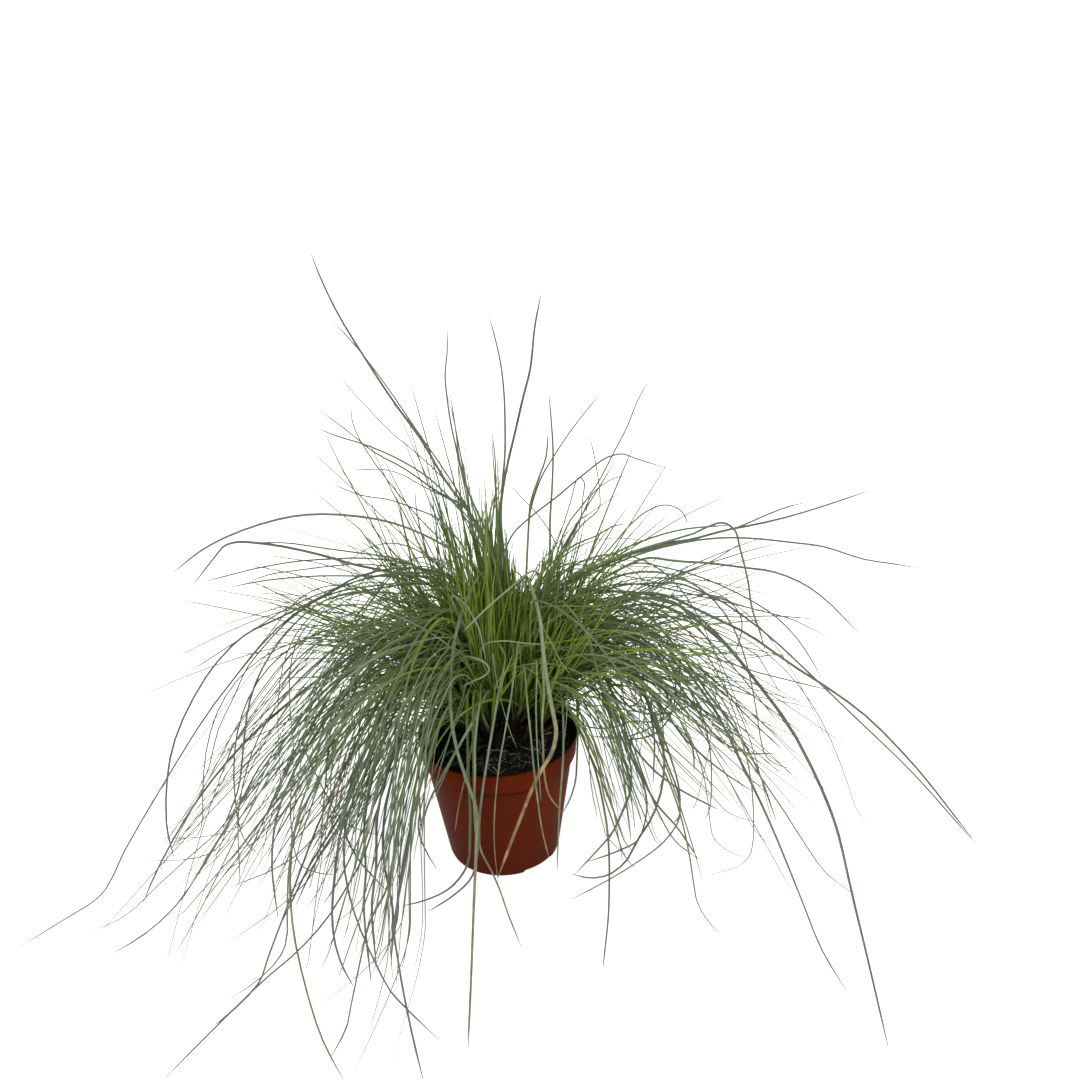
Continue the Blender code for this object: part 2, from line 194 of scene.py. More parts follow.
# Finer blades between them, in families of tufts of a few blades that head the same way: how
# many tufts, blades in one, the azimuth they head for and its spread, the least and greatest
# lean at the root, tilt at the tip and length, where along the blade it bends over, and the
# share of young green (degrees and millimetres)
FAMILIES = {
    "heart": Family(46, (4, 6), 90, 90, (0, 6), (2, 16), (80, 115), 0.5, 1),
    "right of the heart": Family(26, (4, 6), 20, 60, (0, 12), (4, 28), (75, 108), 0.5, 1),
    "left brush": Family(46, (3, 6), 140, 50, (0, 12), (0, 22), (85, 175), 0.5, 0.9),
    "right brush": Family(42, (3, 6), 15, 45, (10, 28), (16, 46), (80, 145), 0.5, 1),
    "front brush": Family(12, (3, 5), 275, 60, (0, 12), (4, 24), (50, 90), 0.5, 1),
    "left fountain": Family(26, (3, 5), 201, 18, (2, 22), (138, 162), (205, 345), 0.3, 0.12),
    "low left fountain": Family(9, (3, 5), 190, 20, (24, 44), (128, 156), (160, 260), 0.26, 0.15),
    "front left fountain": Family(12, (3, 5), 223, 12, (4, 24), (144, 168), (190, 300), 0.3, 0),
    "far front left": Family(7, (2, 4), 242, 8, (6, 22), (150, 170), (290, 370), 0.28, 0),
    "right fountain": Family(31, (3, 5), 2, 22, (8, 28), (118, 148), (180, 290), 0.3, 0.18),
    "right skirt": Family(10, (3, 5), -20, 14, (10, 30), (146, 174), (120, 210), 0.32, 0.1),
    "right curls": Family(6, (2, 4), -6, 18, (34, 54), (200, 280), (110, 180), 0.5, 0.1),
    "right shoulder": Family(17, (3, 5), 12, 16, (24, 48), (62, 94), (120, 220), 0.35, 0.8),
    "left shoulder": Family(26, (3, 5), 160, 18, (16, 38), (58, 94), (110, 210), 0.34, 0.7),
    "upper left fan": Family(18, (2, 4), 140, 20, (6, 26), (12, 46), (120, 225), 0.5, 0.2),
    "upper right fan": Family(6, (2, 3), 35, 25, (10, 28), (18, 45), (110, 190), 0.5, 0.3),
    "back": Family(26, (3, 5), 90, 38, (6, 30), (90, 165), (130, 230), 0.35, 0.35),
}
FINE_LANDING = 32 * MM

# Which share of the tufts strays from its family, and how many times as widely
STRAY_TUFTS = 0.04
STRAY_SPREAD = 3

# Which share of the fine blades is kinked, how many shoots a tuft may choose from, and how many
# steps of a fine blade's path may lie in the crown
KINKED_BLADES = 0.08
NEAREST_SHOOTS = 6
ROOT_STEPS = 12

# From where to where along X only traced blades hang before the pot
OPEN_FRONT = (-40 * MM, 56 * MM)

# Between the heart's two brushes: where along X and how high the gap begins, how far it widens to
# the left and to the right over a height, and at what share of that height it ends
GAP_X = 22 * MM
GAP_FOOT = 207 * MM
GAP_LEFT = 10 * MM
GAP_RIGHT = 32 * MM
GAP_HEIGHT = 38 * MM
GAP_END = 1.3

# How far a tuft's blades differ: azimuth, lean and tilt at the tip in degrees, nothing in length,
# sweep in degrees, and where and how fast they bend
TUFT_VARIETY = np.array([5, 3, 6, 0, 7, 0.03, 0.05])

Traced = namedtuple("Traced", "width young dry depths way")

# Blades that catch the eye: width (mm), share of young green, dryness at the tip, how far they
# are behind the pot's axis (+) or in front of it (-) at even steps along their way (mm), and that
# way through the photograph's 1080 x 1080 frame, from where they leave the mass to their tip
TRACED = [
    # Up to the left
    Traced(1.5, 0.3, 0, (5, 30, 60, 85), [
        (488, 545), (470, 513), (447, 483), (422, 441), (391, 398), (363, 355), (338, 314), (316, 267),
        (311, 254)]),
    Traced(1.3, 0.3, 0, (5, 80), [
        (484, 540), (466, 505), (444, 470), (417, 431), (387, 387), (363, 355), (345, 334), (333, 321)]),
    Traced(1.2, 0.2, 0, (5, 90), [
        (478, 530), (459, 498), (438, 473), (415, 452), (392, 433), (364, 404), (350, 389), (340, 375)]),
    Traced(1.4, 0.2, 0, (5, 75), [
        (480, 530), (466, 509), (435, 490), (405, 469), (371, 450), (349, 432), (333, 420), (317, 409)]),
    Traced(1.2, 0.2, 0, (5, 70), [
        (470, 520), (450, 498), (430, 479), (402, 461), (366, 445), (334, 435), (319, 429)]),
    Traced(1.2, 0.3, 0, (0, 60), [(455, 575), (430, 557), (405, 537), (371, 506), (341, 478), (310, 450)]),
    Traced(1.2, 0.3, 0, (5, 90), [
        (460, 560), (444, 543), (419, 518), (392, 486), (366, 450), (356, 432), (352, 420), (352, 405)]),
    Traced(1.2, 0.2, 0, (5, 60), [
        (470, 525), (450, 500), (434, 492), (417, 483), (401, 474), (387, 470), (356, 470), (343, 470)]),
    Traced(1.1, 0.3, 0, (5, 60), [(462, 545), (440, 520), (416, 509), (390, 500), (360, 495), (330, 483)]),
    # Upright
    Traced(1.5, 0.2, 0, (5, 46), [
        (500, 545), (500, 521), (503, 489), (508, 462), (515, 433), (522, 402), (530, 370), (535, 325),
        (541, 294)]),
    Traced(1.6, 0.2, 0, (5, 20), [
        (503, 545), (501, 521), (503, 481), (505, 449), (505, 425), (504, 394), (501, 366), (495, 338),
        (489, 316)]),
    Traced(1.3, 0.2, 0, (5, 28), [
        (492, 545), (478, 513), (465, 484), (459, 459), (452, 430), (447, 398), (445, 374), (447, 354),
        (447, 325)]),
    Traced(1.1, 0.2, 0, (5, 40), [(485, 530), (470, 495), (460, 462), (455, 425), (450, 392)]),
    Traced(1.3, 0.2, 0, (5, 60), [(550, 545), (550, 521), (552, 489), (553, 449), (551, 418), (549, 394)]),
    Traced(1.0, 0.3, 0, (5, 40), [(497, 530), (496, 497), (495, 457), (492, 432)]),
    # Up to the right
    Traced(1.2, 0.2, 0, (5, 100), [
        (528, 540), (530, 513), (534, 497), (542, 476), (554, 456), (570, 432), (586, 411), (602, 392)]),
    Traced(1.3, 0.1, 0, (5, 91), [
        (555, 560), (570, 521), (585, 502), (599, 481), (613, 454), (628, 425), (637, 402), (649, 380)]),
    Traced(1.3, 0.0, 0, (0, 30), [
        (505, 550), (513, 534), (532, 516), (558, 496), (583, 475), (611, 456), (621, 454), (637, 459),
        (653, 464), (666, 468)]),
    Traced(1.1, 0.0, 0, (5, 30, 30), [
        (552, 555), (562, 529), (570, 504), (581, 478), (583, 480), (583, 496), (581, 516), (577, 539)]),
    Traced(1.0, 0.3, 0, (0, 40), [(560, 555), (548, 529), (532, 508), (521, 497), (510, 484)]),
    Traced(1.3, 0.1, 0, (5, 50), [(527, 560), (528, 539), (532, 497), (538, 480), (546, 457), (548, 433)]),
    Traced(1.3, 0.2, 0, (5, 50), [(560, 560), (581, 526), (600, 505), (600, 497), (596, 465), (589, 433)]),
    Traced(1.1, 0.2, 0, (0, 40), [(565, 560), (580, 520), (597, 489), (605, 483), (618, 477), (637, 476)]),
    # Out to the left
    Traced(1.7, 0.1, 0, (0, 18), [
        (470, 562), (450, 549), (422, 534), (389, 522), (354, 516), (304, 515), (249, 528), (202, 550),
        (174, 572)]),
    Traced(1.7, 0.1, 0, (0, 26), [
        (420, 580), (390, 572), (360, 566), (313, 553), (265, 544), (232, 543), (226, 545), (215, 557),
        (193, 585)]),
    Traced(1.3, 0.2, 0, (0, 10), [(430, 575), (400, 560), (360, 553), (330, 549), (287, 543), (241, 543)]),
    Traced(1.1, 0.2, 0, (0, 30), [(430, 572), (360, 558), (332, 559), (300, 561), (268, 566), (203, 582)]),
    Traced(1.2, 0.2, 0, (0, 10), [(430, 580), (360, 564), (332, 566), (300, 570), (268, 575), (249, 582)]),
    Traced(1.3, 0.2, 0, (0, -10), [
        (440, 590), (400, 578), (351, 576), (319, 576), (288, 578), (262, 581), (231, 587)]),
    # Down to the left
    Traced(1.5, 0.2, 0, (0, -39), [
        (450, 575), (400, 568), (360, 576), (321, 597), (275, 620), (248, 633), (218, 661), (194, 697),
        (172, 750), (166, 798), (168, 835), (174, 857)]),
    Traced(1.2, 0.2, 0, (0, -10), [
        (440, 580), (390, 575), (330, 590), (288, 608), (249, 633), (211, 658), (187, 673)]),
    Traced(1.4, 0.3, 0, (0, -50), [
        (440, 585), (380, 585), (321, 598), (288, 621), (266, 644), (247, 668), (233, 699), (220, 725),
        (206, 775), (197, 792)]),
    Traced(1.4, 0.3, 0, (0, -60), [
        (430, 585), (370, 590), (320, 603), (288, 631), (272, 652), (256, 682), (249, 704), (244, 740),
        (238, 790), (222, 830)]),
    Traced(1.9, 0.0, 0, (-10, -66), [
        (450, 610), (400, 625), (360, 650), (302, 692), (245, 742), (206, 788), (170, 845), (149, 888),
        (143, 903)]),
    Traced(1.8, 0.1, 0, (-10, -90), [
        (440, 620), (390, 645), (340, 680), (302, 722), (264, 760), (237, 809), (206, 859), (180, 901),
        (142, 936), (110, 955)]),
    Traced(1.5, 0.1, 0, (-15, -90), [
        (440, 630), (385, 665), (335, 700), (290, 740), (250, 790), (222, 835), (193, 882), (160, 922),
        (130, 943)]),
    Traced(1.3, 0.1, 0, (0, -40, -70), [
        (455, 580), (380, 575), (300, 610), (225, 690), (160, 790), (125, 850), (100, 896), (60, 922),
        (18, 948)]),
    Traced(1.6, 0.1, 0, (-20, -60, -120, -188), [
        (430, 650), (405, 720), (380, 800), (362, 860), (345, 890), (331, 913), (300, 949), (263, 981),
        (230, 1013), (165, 1078)]),
    Traced(2.2, 0.5, 0.45, (-20, -80, -150, -205), [
        (430, 640), (375, 700), (325, 770), (295, 830), (290, 880), (292, 920), (305, 985), (323, 1041),
        (343, 1079)]),
    Traced(2.0, 0.6, 0.6, (-20, -60, -120, -205), [
        (440, 640), (420, 700), (405, 780), (395, 845), (386, 891), (372, 917), (358, 972), (352, 1000),
        (347, 1026), (331, 1057)]),
    Traced(1.8, 0.1, 0, (-20, -70, -120, -208), [
        (445, 640), (428, 720), (415, 790), (406, 860), (398, 900), (394, 930), (397, 953), (411, 1029),
        (423, 1079)]),
    Traced(1.7, 0.1, 0, (-15, -60, -100, -140), [
        (430, 620), (395, 680), (365, 750), (341, 830), (334, 883), (332, 913), (334, 938), (341, 963),
        (353, 986)]),
    Traced(1.6, 0.1, 0, (-15, -60, -120, -190), [
        (430, 630), (400, 690), (370, 760), (345, 830), (346, 880), (352, 905), (376, 964), (391, 992),
        (406, 1008), (436, 1037)]),
    Traced(1.5, 0.1, 0, (-15, -70), [
        (440, 630), (415, 700), (385, 780), (363, 830), (333, 890), (324, 903)]),
    Traced(1.6, 0.1, 0, (-15, -60, -130), [
        (420, 640), (370, 720), (320, 820), (286, 910), (268, 958), (260, 981), (247, 997), (215, 1025)]),
    Traced(1.8, 0.1, 0, (-20, -60, -130), [
        (440, 630), (415, 690), (390, 760), (377, 820), (376, 870), (372, 900), (376, 963)]),
    Traced(1.7, 0.2, 0, (-20, -60, -130), [
        (435, 625), (400, 700), (372, 780), (364, 830), (366, 870), (364, 900), (371, 981)]),
    Traced(1.8, 0.1, 0, (-20, -60, -120), [
        (445, 635), (415, 700), (394, 770), (384, 820), (383, 853), (393, 913), (391, 965)]),
    Traced(2.0, 0.1, 0, (-20, -60, -110), [
        (450, 640), (440, 700), (425, 770), (412, 820), (399, 890), (394, 945)]),
    Traced(1.5, 0.7, 0, (-20, -60, -80), [
        (440, 620), (400, 680), (365, 750), (345, 810), (345, 832), (356, 856), (386, 890)]),
    Traced(1.4, 0.1, 0, (-20, -50), [
        (455, 640), (440, 720), (425, 790), (419, 833), (426, 851), (436, 868)]),
    Traced(1.6, 0.1, 0, (-15, -70), [
        (420, 620), (350, 690), (300, 760), (276, 820), (272, 866), (278, 918)]),
    Traced(1.3, 0.1, 0, (-15, -70), [
        (425, 640), (370, 740), (320, 830), (290, 860), (270, 871), (230, 887)]),
    Traced(1.3, 0.1, 0, (-10, -60), [(410, 610), (320, 660), (262, 730), (240, 800), (240, 886)]),
    Traced(1.6, 0.2, 0, (-15, -80), [(430, 630), (380, 730), (338, 820), (311, 863), (283, 920)]),
    Traced(1.5, 0.1, 0, (-15, -80), [(435, 640), (390, 740), (350, 810), (318, 858), (296, 905)]),
    Traced(1.5, 0.1, 0, (-30, -63, -63), [
        (470, 690), (468, 760), (470, 830), (465, 870), (450, 888), (426, 900), (402, 906)]),
    Traced(1.7, 0.0, 0, (-30, -62, -62), [
        (476, 690), (474, 780), (478, 850), (470, 880), (450, 898), (429, 911)]),
    # Out to the right
    Traced(1.7, 0.2, 0, (0, 20, 44), [
        (540, 600), (586, 572), (611, 562), (636, 552), (662, 544), (688, 540), (731, 529), (742, 527),
        (787, 517), (814, 509), (868, 491)]),
    Traced(1.2, 0.3, 0, (0, 30), [
        (545, 605), (600, 566), (650, 549), (700, 537), (741, 526), (764, 516), (784, 508), (803, 503)]),
    Traced(1.5, 0.2, 0, (0, 30), [
        (545, 600), (600, 570), (660, 548), (720, 538), (760, 539), (787, 542), (820, 546), (867, 560),
        (894, 564), (918, 568)]),
    Traced(1.6, 0.1, 0, (0, -20), [
        (550, 590), (620, 556), (690, 535), (727, 524), (733, 528), (740, 549), (748, 581), (752, 609),
        (759, 629), (765, 650)]),
    Traced(1.3, 0.6, 0, (0, 20), [(550, 590), (600, 560), (680, 530), (731, 525)]),
    Traced(1.5, 0.2, 0, (0, 0), [
        (560, 610), (610, 575), (649, 558), (675, 561), (707, 563), (739, 567), (774, 572), (807, 586),
        (827, 601), (847, 621), (859, 633)]),
    Traced(1.3, 0.2, 0, (0, 5), [
        (560, 615), (600, 580), (639, 563), (662, 567), (688, 573), (713, 582), (739, 594), (776, 617),
        (795, 636), (808, 654), (822, 679)]),
    Traced(1.3, 0.1, 0, (0, 10), [
        (570, 640), (620, 620), (665, 617), (700, 616), (739, 617), (774, 616), (814, 619)]),
    Traced(1.3, 0.2, 0, (0, 40), [
        (560, 600), (614, 544), (629, 526), (649, 510), (664, 505), (675, 507), (685, 516), (687, 524)]),
    Traced(1.2, 0.3, 0, (0, 60), [
        (560, 595), (600, 566), (640, 543), (662, 529), (682, 517), (700, 508), (731, 494)]),
    Traced(1.2, 0.3, 0, (-10, -10), [
        (570, 640), (610, 610), (652, 590), (672, 581), (688, 572), (710, 562), (743, 542)]),
    Traced(1.3, 0.4, 0, (5, 40), [(545, 570), (573, 546), (598, 535), (614, 526), (626, 524)]),
    Traced(1.2, 0.3, 0, (-10, -20), [
        (580, 620), (600, 612), (635, 600), (675, 596), (719, 597), (728, 601), (738, 611), (742, 623),
        (741, 634), (734, 655)]),
    # Down to the right
    Traced(1.6, 0.1, 0, (0, -38), [
        (565, 610), (610, 588), (657, 583), (681, 584), (700, 591), (719, 600), (742, 615), (763, 631),
        (811, 675), (860, 722), (905, 765), (975, 843)]),
    Traced(1.6, 0.1, 0, (0, -38), [
        (565, 625), (610, 600), (640, 593), (668, 596), (688, 605), (713, 617), (744, 632), (792, 665),
        (834, 692), (860, 711), (905, 755), (972, 838)]),
    Traced(1.9, 0.1, 0, (0, -30, -70, -198), [
        (565, 630), (610, 602), (650, 598), (675, 603), (698, 622), (719, 638), (755, 680), (788, 724),
        (812, 768), (834, 820), (853, 898), (868, 960), (888, 1046)]),
    Traced(1.6, 0.1, 0, (0, -30, -70, -150), [
        (565, 640), (600, 622), (640, 630), (667, 648), (694, 680), (713, 707), (742, 764), (767, 816),
        (801, 898), (822, 950), (846, 990)]),
    Traced(1.5, 0.2, 0, (0, -60), [
        (580, 650), (620, 660), (650, 690), (673, 723), (686, 740), (701, 754), (726, 774), (754, 792)]),
    Traced(1.4, 0.2, 0, (0, -70), [(590, 660), (612, 710), (633, 746), (656, 772), (676, 787), (717, 809)]),
    Traced(1.8, 0.2, 0, (0, -30, -60, -100), [
        (570, 670), (577, 700), (578, 723), (585, 743), (595, 769), (602, 798), (607, 827), (609, 900),
        (603, 968)]),
    Traced(1.7, 0.0, 0, (10, -10, -25, -35), [
        (572, 650), (577, 681), (578, 723), (577, 756), (575, 783), (570, 799), (563, 812)]),
    Traced(1.6, 0.3, 0, (0, -40, -62), [
        (560, 600), (585, 630), (598, 673), (615, 720), (623, 769), (626, 799), (631, 839)]),
    Traced(1.7, 0.2, 0, (0, -40, -60), [
        (562, 612), (590, 650), (605, 690), (623, 733), (631, 769), (631, 789), (621, 816), (609, 840)]),
    Traced(1.8, 0.2, 0, (0, -30, -50, -60), [
        (565, 620), (595, 670), (615, 723), (626, 748), (643, 783), (647, 805), (645, 822), (638, 840),
        (618, 851), (586, 862)]),
    Traced(1.4, 0.2, 0, (0, -30), [(575, 600), (615, 630), (640, 680), (654, 734), (653, 783)]),
    Traced(1.8, 0.1, 0, (0, -30, -50, -60), [
        (590, 640), (630, 665), (652, 711), (664, 756), (663, 781), (650, 821), (638, 839), (626, 861),
        (608, 875), (590, 878), (572, 874)]),
    Traced(1.6, 0.1, 0, (0, -30, -50, -75), [
        (590, 640), (640, 690), (668, 750), (680, 800), (678, 822), (669, 836), (633, 865), (610, 879),
        (570, 900)]),
    Traced(1.5, 0.2, 0, (0, -40), [
        (580, 610), (620, 640), (650, 710), (668, 766), (676, 786), (680, 806), (679, 817), (674, 823)]),
    Traced(1.6, 0.1, 0, (0, -30, -60), [
        (585, 650), (605, 700), (615, 734), (625, 763), (631, 788), (623, 810), (614, 830), (594, 854),
        (575, 874)]),
    Traced(1.5, 0.2, 0, (0, -60), [(585, 650), (615, 700), (635, 760), (658, 806), (676, 826), (698, 859)]),
    Traced(1.3, 0.2, 0, (0, -60), [(590, 655), (620, 710), (645, 780), (660, 816), (676, 842), (697, 858)]),
    Traced(1.6, 0.2, 0, (0, -15, -10), [
        (590, 640), (640, 640), (670, 664), (675, 700), (666, 723), (656, 733), (636, 739), (614, 739),
        (588, 735)]),
    Traced(1.7, 0.2, 0, (0, -20), [(600, 640), (650, 670), (676, 713), (686, 733), (693, 750), (694, 772)]),
    Traced(1.4, 0.1, 0, (0, -25, -20), [
        (590, 650), (640, 655), (672, 668), (681, 690), (674, 709), (650, 728), (624, 737), (600, 736)]),
    Traced(1.3, 0.2, 0, (0, -30, -20), [
        (585, 655), (630, 660), (662, 680), (671, 703), (654, 713), (632, 711), (606, 706), (577, 706)]),
    Traced(1.3, 0.1, 0, (0, -30, -20), [
        (588, 660), (625, 672), (655, 700), (663, 718), (648, 722), (632, 721), (615, 727), (594, 728),
        (580, 724)]),
    Traced(1.2, 0.3, 0, (0, -25, -15), [
        (580, 670), (608, 676), (630, 684), (641, 697), (632, 706), (618, 700), (612, 692), (600, 690)]),
    Traced(1.3, 0.3, 0, (0, 10), [(570, 650), (590, 672), (610, 685), (630, 686), (654, 693), (679, 693)]),
    Traced(1.3, 0.2, 0, (0, 10), [(590, 650), (615, 690), (636, 711), (668, 713), (683, 708), (707, 700)]),
    Traced(1.5, 0.2, 0, (0, -50), [
        (575, 610), (640, 612), (685, 660), (709, 695), (736, 730), (756, 766), (776, 820)]),
    Traced(1.6, 0.1, 0, (0, -30), [
        (575, 600), (630, 610), (676, 663), (703, 677), (726, 695), (751, 720), (780, 748)]),
    Traced(1.4, 0.2, 0, (0, -20), [(570, 590), (640, 598), (680, 615), (709, 640), (736, 670), (780, 725)]),
    Traced(1.4, 0.2, 0, (0, -20), [(570, 600), (650, 595), (695, 615), (726, 643), (747, 668), (800, 745)]),
    Traced(1.2, 0.2, 0, (0, -20), [(575, 620), (640, 640), (690, 700), (724, 743), (747, 753), (777, 753)]),
    Traced(1.3, 0.3, 0, (0, -10), [(580, 620), (640, 660), (684, 711), (708, 731)]),
]

# Those that hang over the front of the crown and the pot, with the palest wax
TRACED_IN_FRONT = [
    Traced(2.7, 0.25, 0.9, (-5, -45, -60, -56, -42), [
        (528, 580), (538, 610), (544, 660), (552, 709), (556, 728), (553, 750), (539, 774), (521, 817),
        (498, 877)]),
    Traced(1.4, 0.8, 0.7, (-25, -58, -58, -50), [
        (541, 660), (544, 691), (542, 724), (543, 744), (545, 779), (549, 795), (563, 813)]),
    Traced(2.0, 0.35, 0.4, (0, -46, -66, -115, -208), [
        (478, 577), (466, 602), (457, 628), (452, 660), (450, 700), (456, 747), (467, 782), (476, 808),
        (476, 850), (474, 900), (471, 980), (468, 1048)]),
    Traced(2.2, 0.1, 0.4, (-15, -50, -60, -52, -46, -46), [
        (499, 645), (505, 655), (504, 668), (499, 690), (494, 720), (488, 755), (483, 787), (479, 827),
        (480, 848), (492, 872), (499, 888), (508, 914), (516, 934), (521, 946)]),
    Traced(2.2, 0.2, 0.1, (-20, -50, -52, -60), [
        (488, 691), (480, 707), (472, 724), (463, 739), (454, 755), (439, 782), (430, 800), (421, 828)]),
    Traced(1.7, 0.2, 0.1, (-20, -50, -52), [(470, 672), (462, 700), (451, 733), (441, 765), (432, 800)]),
    Traced(1.5, 0.3, 0.3, (-20, -55, -62, -55), [
        (481, 684), (480, 700), (477, 722), (475, 745), (475, 775), (474, 800), (476, 840)]),
    Traced(1.2, 0.2, 0, (-20, -45), [(493, 655), (499, 693), (506, 718), (511, 734), (517, 748)]),
    Traced(1.3, 0.4, 0.5, (-20, -55, -58, -46), [
        (518, 644), (515, 670), (511, 697), (504, 738), (500, 760), (496, 794), (494, 830), (496, 865),
        (498, 882)]),
    Traced(1.2, 0.5, 0.5, (-20, -52, -60, -47), [
        (524, 665), (527, 700), (531, 738), (533, 760), (537, 795), (543, 834), (549, 858)]),
    Traced(1.3, 0.4, 0.1, (-20, -58, -58), [(536, 660), (536, 714), (537, 744), (539, 774), (541, 801)]),
    Traced(1.2, 0.1, 0, (-10, -40, -45), [(566, 680), (567, 711), (566, 724), (564, 743)]),
    Traced(1.7, 0.1, 0, (-20, -58), [(484, 690), (470, 725), (457, 750), (445, 775), (434, 799)]),
    Traced(1.7, 0.3, 0, (-20, -35), [
        (460, 600), (466, 605), (473, 617), (479, 629), (482, 642), (486, 660)]),
    Traced(1.8, 0.3, 0, (-25, -38), [
        (467, 657), (477, 659), (486, 664), (489, 670), (484, 676), (473, 681), (462, 687)]),
    Traced(1.7, 0.1, 0, (-5, -30, -45), [(530, 572), (509, 589), (487, 608), (464, 631)]),
    Traced(1.2, 0.1, 0, (-30, -32), [(492, 642), (506, 641), (522, 643), (538, 644), (553, 641)]),
    Traced(1.3, 0.9, 0.3, (-20, -35), [(542, 625), (547, 635), (554, 648), (561, 662), (569, 673)]),
    Traced(1.0, 0.3, 0.9, (-25, -50, -50), [(478, 700), (472, 745), (466, 774), (459, 804), (455, 831)]),
    Traced(1.3, 0.1, 0.1, (-15, -30, -46, -40), [
        (556, 660), (562, 700), (563, 760), (560, 800), (558, 845), (557, 872)]),
]

# How softly a traced blade comes down to the floor
SETTLING = 20 * MM

# How far the main blades reach, as the lowest and the highest corner round the clump
REACH = ((-300 * MM, -211 * MM, 0), (310 * MM, 215 * MM, 390 * MM))


# Growth of the shoots

def radial(azimuth):
    return np.array([math.cos(azimuth), math.sin(azimuth), 0.0])


def towards(azimuth, lean):
    """Unit vector that leans from the vertical towards an azimuth."""
    return math.sin(lean) * radial(azimuth) + np.array([0, 0, math.cos(lean)])


def nearness(azimuth, middle, width):
    """How near an azimuth is to the middle of a side of the clump: 1 in its middle, 0 away from it."""
    off = (azimuth - middle + math.pi) % math.tau - math.pi
    return math.exp(-(off / width) ** 2)


def openness(azimuth):
    return nearness(azimuth, OPEN_SIDE, OPEN_WIDTH)


def tilt_along(lean, droop, curl, u):
    """Angle from the vertical along a blade: it bends over soon after the sheath, then hangs."""
    return lean + droop * (1 - (1 - u ** 1.4) ** 3.4) + curl * u ** 4


def walk(root, heading, tilt, length, landing=LANDING):
    """Points along a blade; where it comes down to the floor it runs out along it."""
    step = length / PATH_STEPS
    points = [np.array(root)]
    for k in range(PATH_STEPS):
        here = points[-1]
        steepest = -(here[2] - FLOOR_LIFT) / landing
        rise = max(math.cos(tilt[k]), min(steepest, 0.999))
        run = math.copysign(math.sqrt(max(0.0, 1 - rise * rise)), math.sin(tilt[k]))
        points.append(here + step * (run * radial(heading[k]) + np.array([0, 0, rise])))
    return np.array(points)


def blade_path(root, azimuth, sweep, lean, droop, curl, length, landing=LANDING):
    tilt = tilt_along(lean, droop, curl, MID_STEPS)
    return walk(root, azimuth + sweep * (MID_STEPS - 0.5), tilt, length, landing)


def reach_tip(root, tip, lean, curl):
    """Droop and length that carry a blade from its root to its tip."""
    across = math.hypot(tip[0] - root[0], tip[1] - root[1])
    wanted = math.atan2(across, tip[2] - root[2])
    low = math.radians(-120)
    high = math.radians(230)
    for _ in range(40):
        droop = (low + high) / 2
        tilt = tilt_along(lean, droop, curl, MID_STEPS)
        run = np.sin(tilt).mean()
        rise = np.cos(tilt).mean()
        if math.atan2(run, rise) < wanted:
            low = droop
        else:
            high = droop
    length = math.hypot(across, tip[2] - root[2]) / math.hypot(run, rise)
    return droop, length


def resample(line, rings):
    """Rings along a line, close together where it bends, and how far along it each one lies."""
    steps = np.diff(line, axis=0)
    lengths = np.maximum(np.linalg.norm(steps, axis=1), SHORTEST_STEP)
    ways = steps / lengths[:, None]
    turns = np.arccos(np.clip((ways[1:] * ways[:-1]).sum(axis=1), -1, 1))
    measure = lengths / lengths.sum()
    measure[1:] += BEND_SHARE * turns / max(turns.sum(), LEAST_TURN)
    total = np.concatenate([[0], np.cumsum(measure)])
    numbers = np.arange(len(line))
    index = np.interp(np.linspace(0, total[-1], rings), total, numbers)
    places = np.stack([np.interp(index, numbers, line[:, k]) for k in range(3)], axis=1)
    travelled = np.concatenate([[0], np.cumsum(lengths)])
    return places, np.interp(index, numbers, travelled)


def segment_distances(start, end, starts, ends):
    """Least distances from one segment to each of many others."""
    way = end - start
    ways = ends - starts
    offset = start - starts
    a = way @ way
    e = (ways * ways).sum(axis=1)
    f = (ways * offset).sum(axis=1)
    c = offset @ way
    b = ways @ way
    spread = np.maximum(a * e - b * b, 1e-18)
    s = np.clip((b * f - c * e) / spread, 0, 1)
    t = np.clip((b * s + f) / e, 0, 1)
    s = np.clip((b * t - c) / a, 0, 1)
    t = np.clip((b * s + f) / e, 0, 1)
    apart = start + s[:, None] * way - starts - t[:, None] * ways
    return np.linalg.norm(apart, axis=1)


class Thicket:
    """Everything that has grown so far, as segments with a radius."""

    def __init__(self):
        self.starts = np.zeros((0, 3))
        self.ends = np.zeros((0, 3))
        self.radii = np.zeros(0)

    def is_free(self, line, radii):
        for k in range(len(line) - 1):
            room = self.radii + radii[k] + CLEARANCE
            if (segment_distances(line[k], line[k + 1], self.starts, self.ends) < room).any():
                return False
        return True

    def add(self, line, radii):
        self.starts = np.vstack([self.starts, line[:-1]])
        self.ends = np.vstack([self.ends, line[1:]])
        self.radii = np.concatenate([self.radii, radii[:-1]])


def meets_pot(line):
    """Whether a line runs into the pot, the compost or the crown."""
    margin = 2 * MM
    for start, end in zip(line, line[1:]):
        for share in np.linspace(0, 1, 6):
            x, y, z = start + share * (end - start)
            across = math.hypot(x, y)
            dome = max(0.0, 1 - (across / SEAT_RADIUS) ** 2)
            top = POT_HEIGHT + margin + (CROWN_TOP - POT_HEIGHT) * dome
            if across < RIM_RADIUS + margin and z < top + margin / 2:
                return True
    return False


def seen_height(path, plane):
    """How high each point of a path appears on an upright plane across Y, from the camera's pitch."""
    return path[:, 2] + (path[:, 1] - plane) * math.tan(CAMERA_PITCH)


